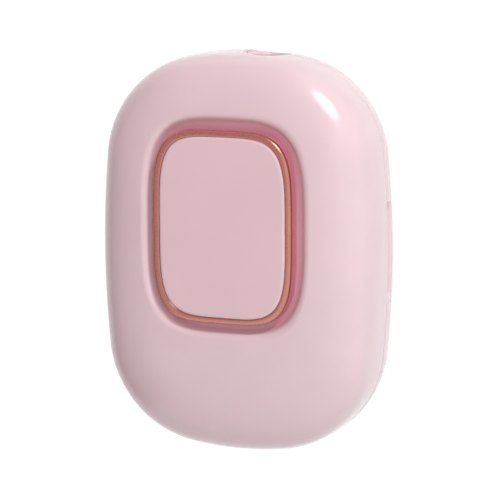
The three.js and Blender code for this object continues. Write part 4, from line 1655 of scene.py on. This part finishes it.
@dataclass
class Screws:
    """Small pan-head screws with a cross recess and a ribbed shank."""

    radius: float = 0.8 * MM
    head_radius: float = 1.6 * MM
    head_height: float = 0.6 * MM
    crown: float = 0.22 * MM
    root: float = 0.18 * MM
    pitch: float = 0.5 * MM
    thread: tuple[float, float, float, float] = (0.3, 0.3 + 1 / 3, 0.3 + 1 / 2, 1.0)
    recess_length: float = 0.95 * MM
    recess_width: float = 0.17 * MM
    recess_depth: float = 0.42 * MM
    next_turn: float = 0.7
    steps: int = 32

    def drive(self, length: float) -> Object:
        """Makes one screw that points down from the underside of its head.

        Args:
            length: The length of its shank.

        Returns:
            The screw.
        """
        rise, core = self.head_height - self.crown, self.radius - self.root
        profile = [(self.head_radius * across, rise + self.crown * up)
                   for across, up in arc(1.0, QUARTER, 0, 5)]
        profile += [(self.head_radius, 0.0), (core, 0.0)]
        for index in range(int((length - self.radius) / self.pitch)):
            profile += [(radius, -(index + share) * self.pitch)
                        for radius, share in zip((core, self.radius, self.radius, core), self.thread)]
        profile += [(core, -length + self.radius), (0.0, -length)]
        screw = as_object("screw", lathe(profile, self.steps))
        deep, top = self.head_height - self.recess_depth, self.head_height + self.crown
        for x, y in ((self.recess_length, self.recess_width), (self.recess_width, self.recess_length)):
            carve(screw, [block((-x, -y, deep), (x, y, top))], Cut.REMOVE)
        return screw

    def place(self, name: str, count: int, prefix: str, body: Body, side: int) -> None:
        """Makes a screw in the place of each of several nodes.

        Args:
            name: How the nodes' names start.
            count: How many nodes there are.
            prefix: How the pieces' names start.
            body: The body that they ride on.
            side: 1 if their points look up, -1 if they look down.
        """
        for number, (low, high) in enumerate(boxes(name, count), start=1):
            place = (low + high) / 2
            place.z = low.z + self.head_height if side > 0 else high.z - self.head_height
            screw = self.drive(high.z - low.z - self.head_height)
            screw.name = f"{prefix}_{number}"
            over = Matrix.Rotation(math.pi if side > 0 else 0.0, 4, "X")
            turn = Matrix.Rotation(number * self.next_turn, 4, "Z")
            screw.data.transform(Matrix.Translation(place) @ over @ turn)
            enter(screw, body, "steel", STEEL, f"{name}_{number}")


@dataclass
class Lamps:
    """The ultraviolet lamps: a ceramic cup with a die on its floor."""

    wall: float = 0.45 * MM
    cup_depth: float = 0.55 * MM
    cup_taper: float = 0.72
    edge: float = 0.12 * MM
    die: float = 0.5 * MM
    die_sink: float = 0.15 * MM
    die_rise: float = 0.02 * MM
    die_edge: float = 0.03 * MM

    def build(self, number: int) -> None:
        """Makes one lamp, which shines down into the chamber.

        Args:
            number: The number of its node.
        """
        node = f"uv_led_{number}"
        low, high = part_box(node)
        centre, reach = (low + high) / 2, (high.x - low.x) / 2 - self.wall
        floor, below = low.z + self.cup_depth, low.z - self.wall
        profile = [(0, below), (reach, below), (reach, low.z), (reach * self.cup_taper, floor), (0, floor)]
        cup = placed(lathe(profile, 48), Matrix.Translation((centre.x, centre.y, 0)))
        body = as_object(f"lamp_{number}", block(low, high, self.edge))
        carve(body, [cup], Cut.REMOVE)
        enter(body, Body.LID, "lamp", LAMP_CERAMIC, node)
        chip = block((centre.x - self.die, centre.y - self.die, floor - self.die_sink),
                     (centre.x + self.die, centre.y + self.die, floor + self.die_rise), self.die_edge)
        enter(as_object(f"lamp_die_{number}", chip), Body.LID, "lamp", LAMP_GOLD)


# The studio


@dataclass(frozen=True)
class View:
    """The camera: where it stands, seen from the middle of the case's widest plane."""

    azimuth: float = math.radians(22.528)
    elevation: float = math.radians(9.950)
    roll: float = math.radians(-0.295)
    distance: float = 660.1 * MM
    lens: float = 188.8
    sensor: float = 36.0
    right_of_aim: float = 0.505 * MM
    above_aim: float = 0.481 * MM
    nearest: float = 0.01
    farthest: float = 10.0

    def axes(self) -> tuple[Vector, Vector, Vector]:
        """The directions of the picture.

        Returns:
            Those to the right, up and back towards the camera.
        """
        turn, rise = self.azimuth, self.elevation
        back = Vector((math.sin(turn) * math.cos(rise), math.sin(rise), math.cos(turn) * math.cos(rise)))
        right = Vector((math.cos(turn), 0, -math.sin(turn)))
        up = back.cross(right)
        cosine, sine = math.cos(self.roll), math.sin(self.roll)
        return right * cosine + up * sine, up * cosine - right * sine, back

    def build(self, target: Vector) -> None:
        """Makes the camera and sets it as the scene's own.

        Args:
            target: The middle of the case.
        """
        right, up, back = self.axes()
        place = target - right * self.right_of_aim - up * self.above_aim + back * self.distance
        data = bpy.data.cameras.new("camera")
        data.lens, data.sensor_width = self.lens, self.sensor
        data.clip_start, data.clip_end = self.nearest, self.farthest
        camera = bpy.data.objects.new("camera", data)
        camera.matrix_world = Matrix.Translation(place) @ Matrix((right, up, back)).transposed().to_4x4()
        bpy.context.scene.collection.objects.link(camera)
        bpy.context.scene.camera = camera


@dataclass(frozen=True)
class Stand:
    """Something in the studio that faces the case from a distance."""

    name: str
    direction: tuple[float, float, float]
    distance: float

    def facing(self, target: Vector) -> Matrix:
        """Where it stands, turned to a target.

        Args:
            target: The point that it faces.

        Returns:
            Its place and turn as a matrix.
        """
        towards = Vector(self.direction).normalized()
        return (Matrix.Translation(target + towards * self.distance)
                @ towards.to_track_quat("Z", "Y").to_matrix().to_4x4())


@dataclass(frozen=True)
class SoftBox(Stand):
    """One studio lamp: a bright oval that lights the case or, when mirrored, is seen in its gloss only."""

    width: float
    height: float
    strength: float
    mirrored: bool = False

    def build(self, target: Vector) -> None:
        """Makes the lamp. Its strength is the share of white that it gives a white face turned to it.

        Args:
            target: The point that it faces.
        """
        data = bpy.data.lights.new(self.name, "AREA")
        data.shape, data.size, data.size_y = "ELLIPSE", self.width, self.height
        data.energy = self.strength * (math.pi * self.distance) ** 2
        lamp = bpy.data.objects.new(self.name, data)
        lamp.visible_glossy, lamp.visible_diffuse = self.mirrored, not self.mirrored
        lamp.matrix_world = self.facing(target)
        bpy.context.scene.collection.objects.link(lamp)


@dataclass(frozen=True)
class Card(Stand):
    """A square card beside the case: a mirrored one is seen in its gloss only, the other keeps light off."""

    colour: Colour
    half_size: float
    mirrored: bool = False

    def build(self, target: Vector) -> None:
        """Makes the card.

        Args:
            target: The point that it faces.
        """
        card = sheet(self.name, self.half_size, self.facing(target))
        graph = Graph(bpy.data.materials.new(self.name))
        card.data.materials.append(graph.close(graph.glow(self.colour)))
        card.visible_glossy, card.visible_diffuse = self.mirrored, not self.mirrored
        card.visible_transmission = card.visible_camera = False


def sheet(name: str, half_size: float, matrix: Matrix) -> Object:
    """Makes a square sheet that belongs to the studio.

    Args:
        name: Its name.
        half_size: Half the length of its sides.
        matrix: Where it lies.

    Returns:
        The sheet.
    """
    mesh = bmesh.new()
    bmesh.ops.create_grid(mesh, x_segments=1, y_segments=1, size=half_size)
    made = as_object(name, placed(mesh, matrix))
    return made


@dataclass(frozen=True)
class Studio:
    """A plain white studio: the floor, the soft lamps and the light from all round."""

    stands: tuple[Stand, ...] = (
        SoftBox("key_light", (0.51, 0.735, 0.44), 0.9, 0.08, 0.08, 0.36),
        SoftBox("window_light", (0.485, 0.74, 0.468), 0.9, 0.38, 0.5, 0.37, mirrored=True),
        SoftBox("low_fill", (0.6, -0.6, 0.5), 1.2, 0.6, 0.6, 0.04),
        SoftBox("front_fill", (0.377, 0.173, 0.91), 1.2, 0.4, 0.4, 0.33),
        Card("dim_card", (-0.38, 0.62, 0.7), 1.5, (0.66, 0.5, 0.63), 1.5, mirrored=True),
        Card("dark_card", (-0.93, -0.1, 0.33), 1.5, (0.4, 0.37, 0.37), 1.0, mirrored=True),
        Card("dark_flag", (-0.8, 0.1, 0.45), 1.5, (0.13, 0.02, 0.05), 1.36),
    )
    ambient: float = 0.49
    backdrop: float = 1.15
    floor_half_size: float = 3.0
    floor_drop: float = 0.05 * MM
    floor_white: float = 0.8
    shadow_share: float = 0.2

    def build_world(self) -> None:
        """Makes the light from all round: soft on the case, and white where it is seen."""
        world = bpy.context.scene.world = bpy.data.worlds.new("studio")
        graph = Graph(world)
        white = (1, 1, 1, 1)
        soft, seen = (graph.add("ShaderNodeBackground", {"Color": white, "Strength": strength}).outputs[0]
                      for strength in (self.ambient, 1.0))
        mixed = graph.add("ShaderNodeMixShader", {0: graph.seen_directly(), 1: soft, 2: seen})
        graph.close(mixed.outputs[0], "World")

    def build_floor(self) -> None:
        """Makes the white floor, which keeps a faint shadow of the case."""
        floor = sheet("floor", self.floor_half_size, Matrix.Translation((0, 0, -self.floor_drop)))
        graph = Graph(bpy.data.materials.new("floor_white"))
        paper = graph.add("ShaderNodeBsdfDiffuse", {"Color": (*(self.floor_white,) * 3, 1)})
        seen = graph.sum("MULTIPLY", graph.seen_directly(), 1 - self.shadow_share)
        mixed = graph.add("ShaderNodeMixShader", {0: seen, 1: paper.outputs[0],
                                                  2: graph.glow((1, 1, 1), self.backdrop)})
        floor.data.materials.append(graph.close(mixed.outputs[0]))

    def build(self, target: Vector) -> None:
        """Lights the case and lays the floor under it.

        Args:
            target: The middle of the case.
        """
        self.build_world()
        self.build_floor()
        for stand in self.stands:
            stand.build(target)
        bpy.context.scene.view_settings.view_transform = "Standard"


CARRIED = {
    "rear_magnet_1": MAGNET_NICKEL, "rear_magnet_2": MAGNET_NICKEL,
    "front_magnet_1": MAGNET_NICKEL, "front_magnet_2": MAGNET_NICKEL,
    "hinge_pin": DRAWN_STEEL, "plunger_seal": SOFT_PINK, "uv_window": QUARTZ, "main_board": BOARD_GREEN,
    "switch_body": SWITCH_BLACK, "switch_stem": SWITCH_BLACK, "battery": CELL_FOIL,
}
CARRIED_EDGE = 0.06 * MM


def carry_over(nodes: dict[str, Object]) -> None:
    """Gives the frame's own small pieces their finish and soft edges.

    Args:
        nodes: The frame's nodes by name.
    """
    for name, finish in CARRIED.items():
        dressed(nodes[name], finish)
        edge = nodes[name].modifiers.new("soft_edges", "BEVEL")
        edge.width, edge.segments, edge.limit_method, edge.angle_limit = CARRIED_EDGE, 2, "ANGLE", CREASE
        LOG.info("%s keeps its shape", name)


def main() -> None:
    """Builds the case round the frame and lights it."""
    logging.basicConfig(level=logging.INFO, format="%(name)s: %(message)s")
    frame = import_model()
    form = CaseForm()
    ring_low, ring_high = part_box("bezel_ring")
    pin_low, pin_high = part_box("hinge_pin")
    collar_low, collar_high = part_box("neck_collar_rear")
    socket_low, socket_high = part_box("charging_socket")
    centre_y, ring_oval = (ring_low.y + ring_high.y) / 2, SHELL_PINK.plinth
    width, lower = FrontPanel.ring_width, FrontPanel.panel_lower
    oval = Oval(ring_high.x - width, (ring_high.y - ring_low.y) / 2 - width + lower,
                ring_oval.exponent, 0.0, centre_y - lower)
    plinth_top = ring_high.z - FrontPanel.ring_height
    well = Well(centre_y, floor=ring_low.z - Well.ring_sink,
                plinth=ring_oval.grown(-FrontPanel.ring_overhang), plinth_inner=oval, plinth_top=plinth_top)
    hinge = Hinge((pin_low.x + pin_high.x) / 2, (pin_low.z + pin_high.z) / 2, pin_high.y, form.wall)
    neck = NeckOpening((collar_low.x + collar_high.x) / 2, form.parting, form.outline.half_height, form.wall)
    scoop = Scoop(form.parting)
    radius = (socket_high.z - socket_low.z) / 2
    inlet = Inlet(mouth=socket_low.y, back=socket_high.y, half_width=socket_high.x, radius=radius,
                  centre_z=socket_low.z + radius)
    FrontHousing(form, hinge, neck, well, inlet).build()
    RearHousing(form, hinge, neck, scoop).build()
    panel = FrontPanel(oval, ring_oval, ring_top=ring_high.z, ring_foot=plinth_top + FrontPanel.ring_lift,
                       panel_top=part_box("button_panel")[1].z, post_centre=centre_y,
                       plunger_foot=well.under + FrontPanel.plunger_gap)
    panel.ring()
    panel.panel()
    inlet.build()
    liners = Liners(form, hinge, neck, scoop)
    liners.base()
    liners.lid()
    NeckCollars().build("base_neck_collar", "neck_collar_rear", Body.BASE)
    NeckCollars().build("lid_neck_collar", "neck_collar_front", Body.LID)
    Screws().place("rear_liner_screw", 4, "base_screw", Body.BASE, -1)
    Screws().place("front_liner_screw", 4, "lid_screw", Body.LID, 1)
    Screws().place("board_screw", 2, "circuit_screw", Body.LID, -1)
    for number in (1, 2):
        Lamps().build(number)
    carry_over(frame["nodes"])
    target = Vector((0, 0, form.parting))
    View().build(target)
    Studio().build(target)


if __name__ == "__main__":
    main()
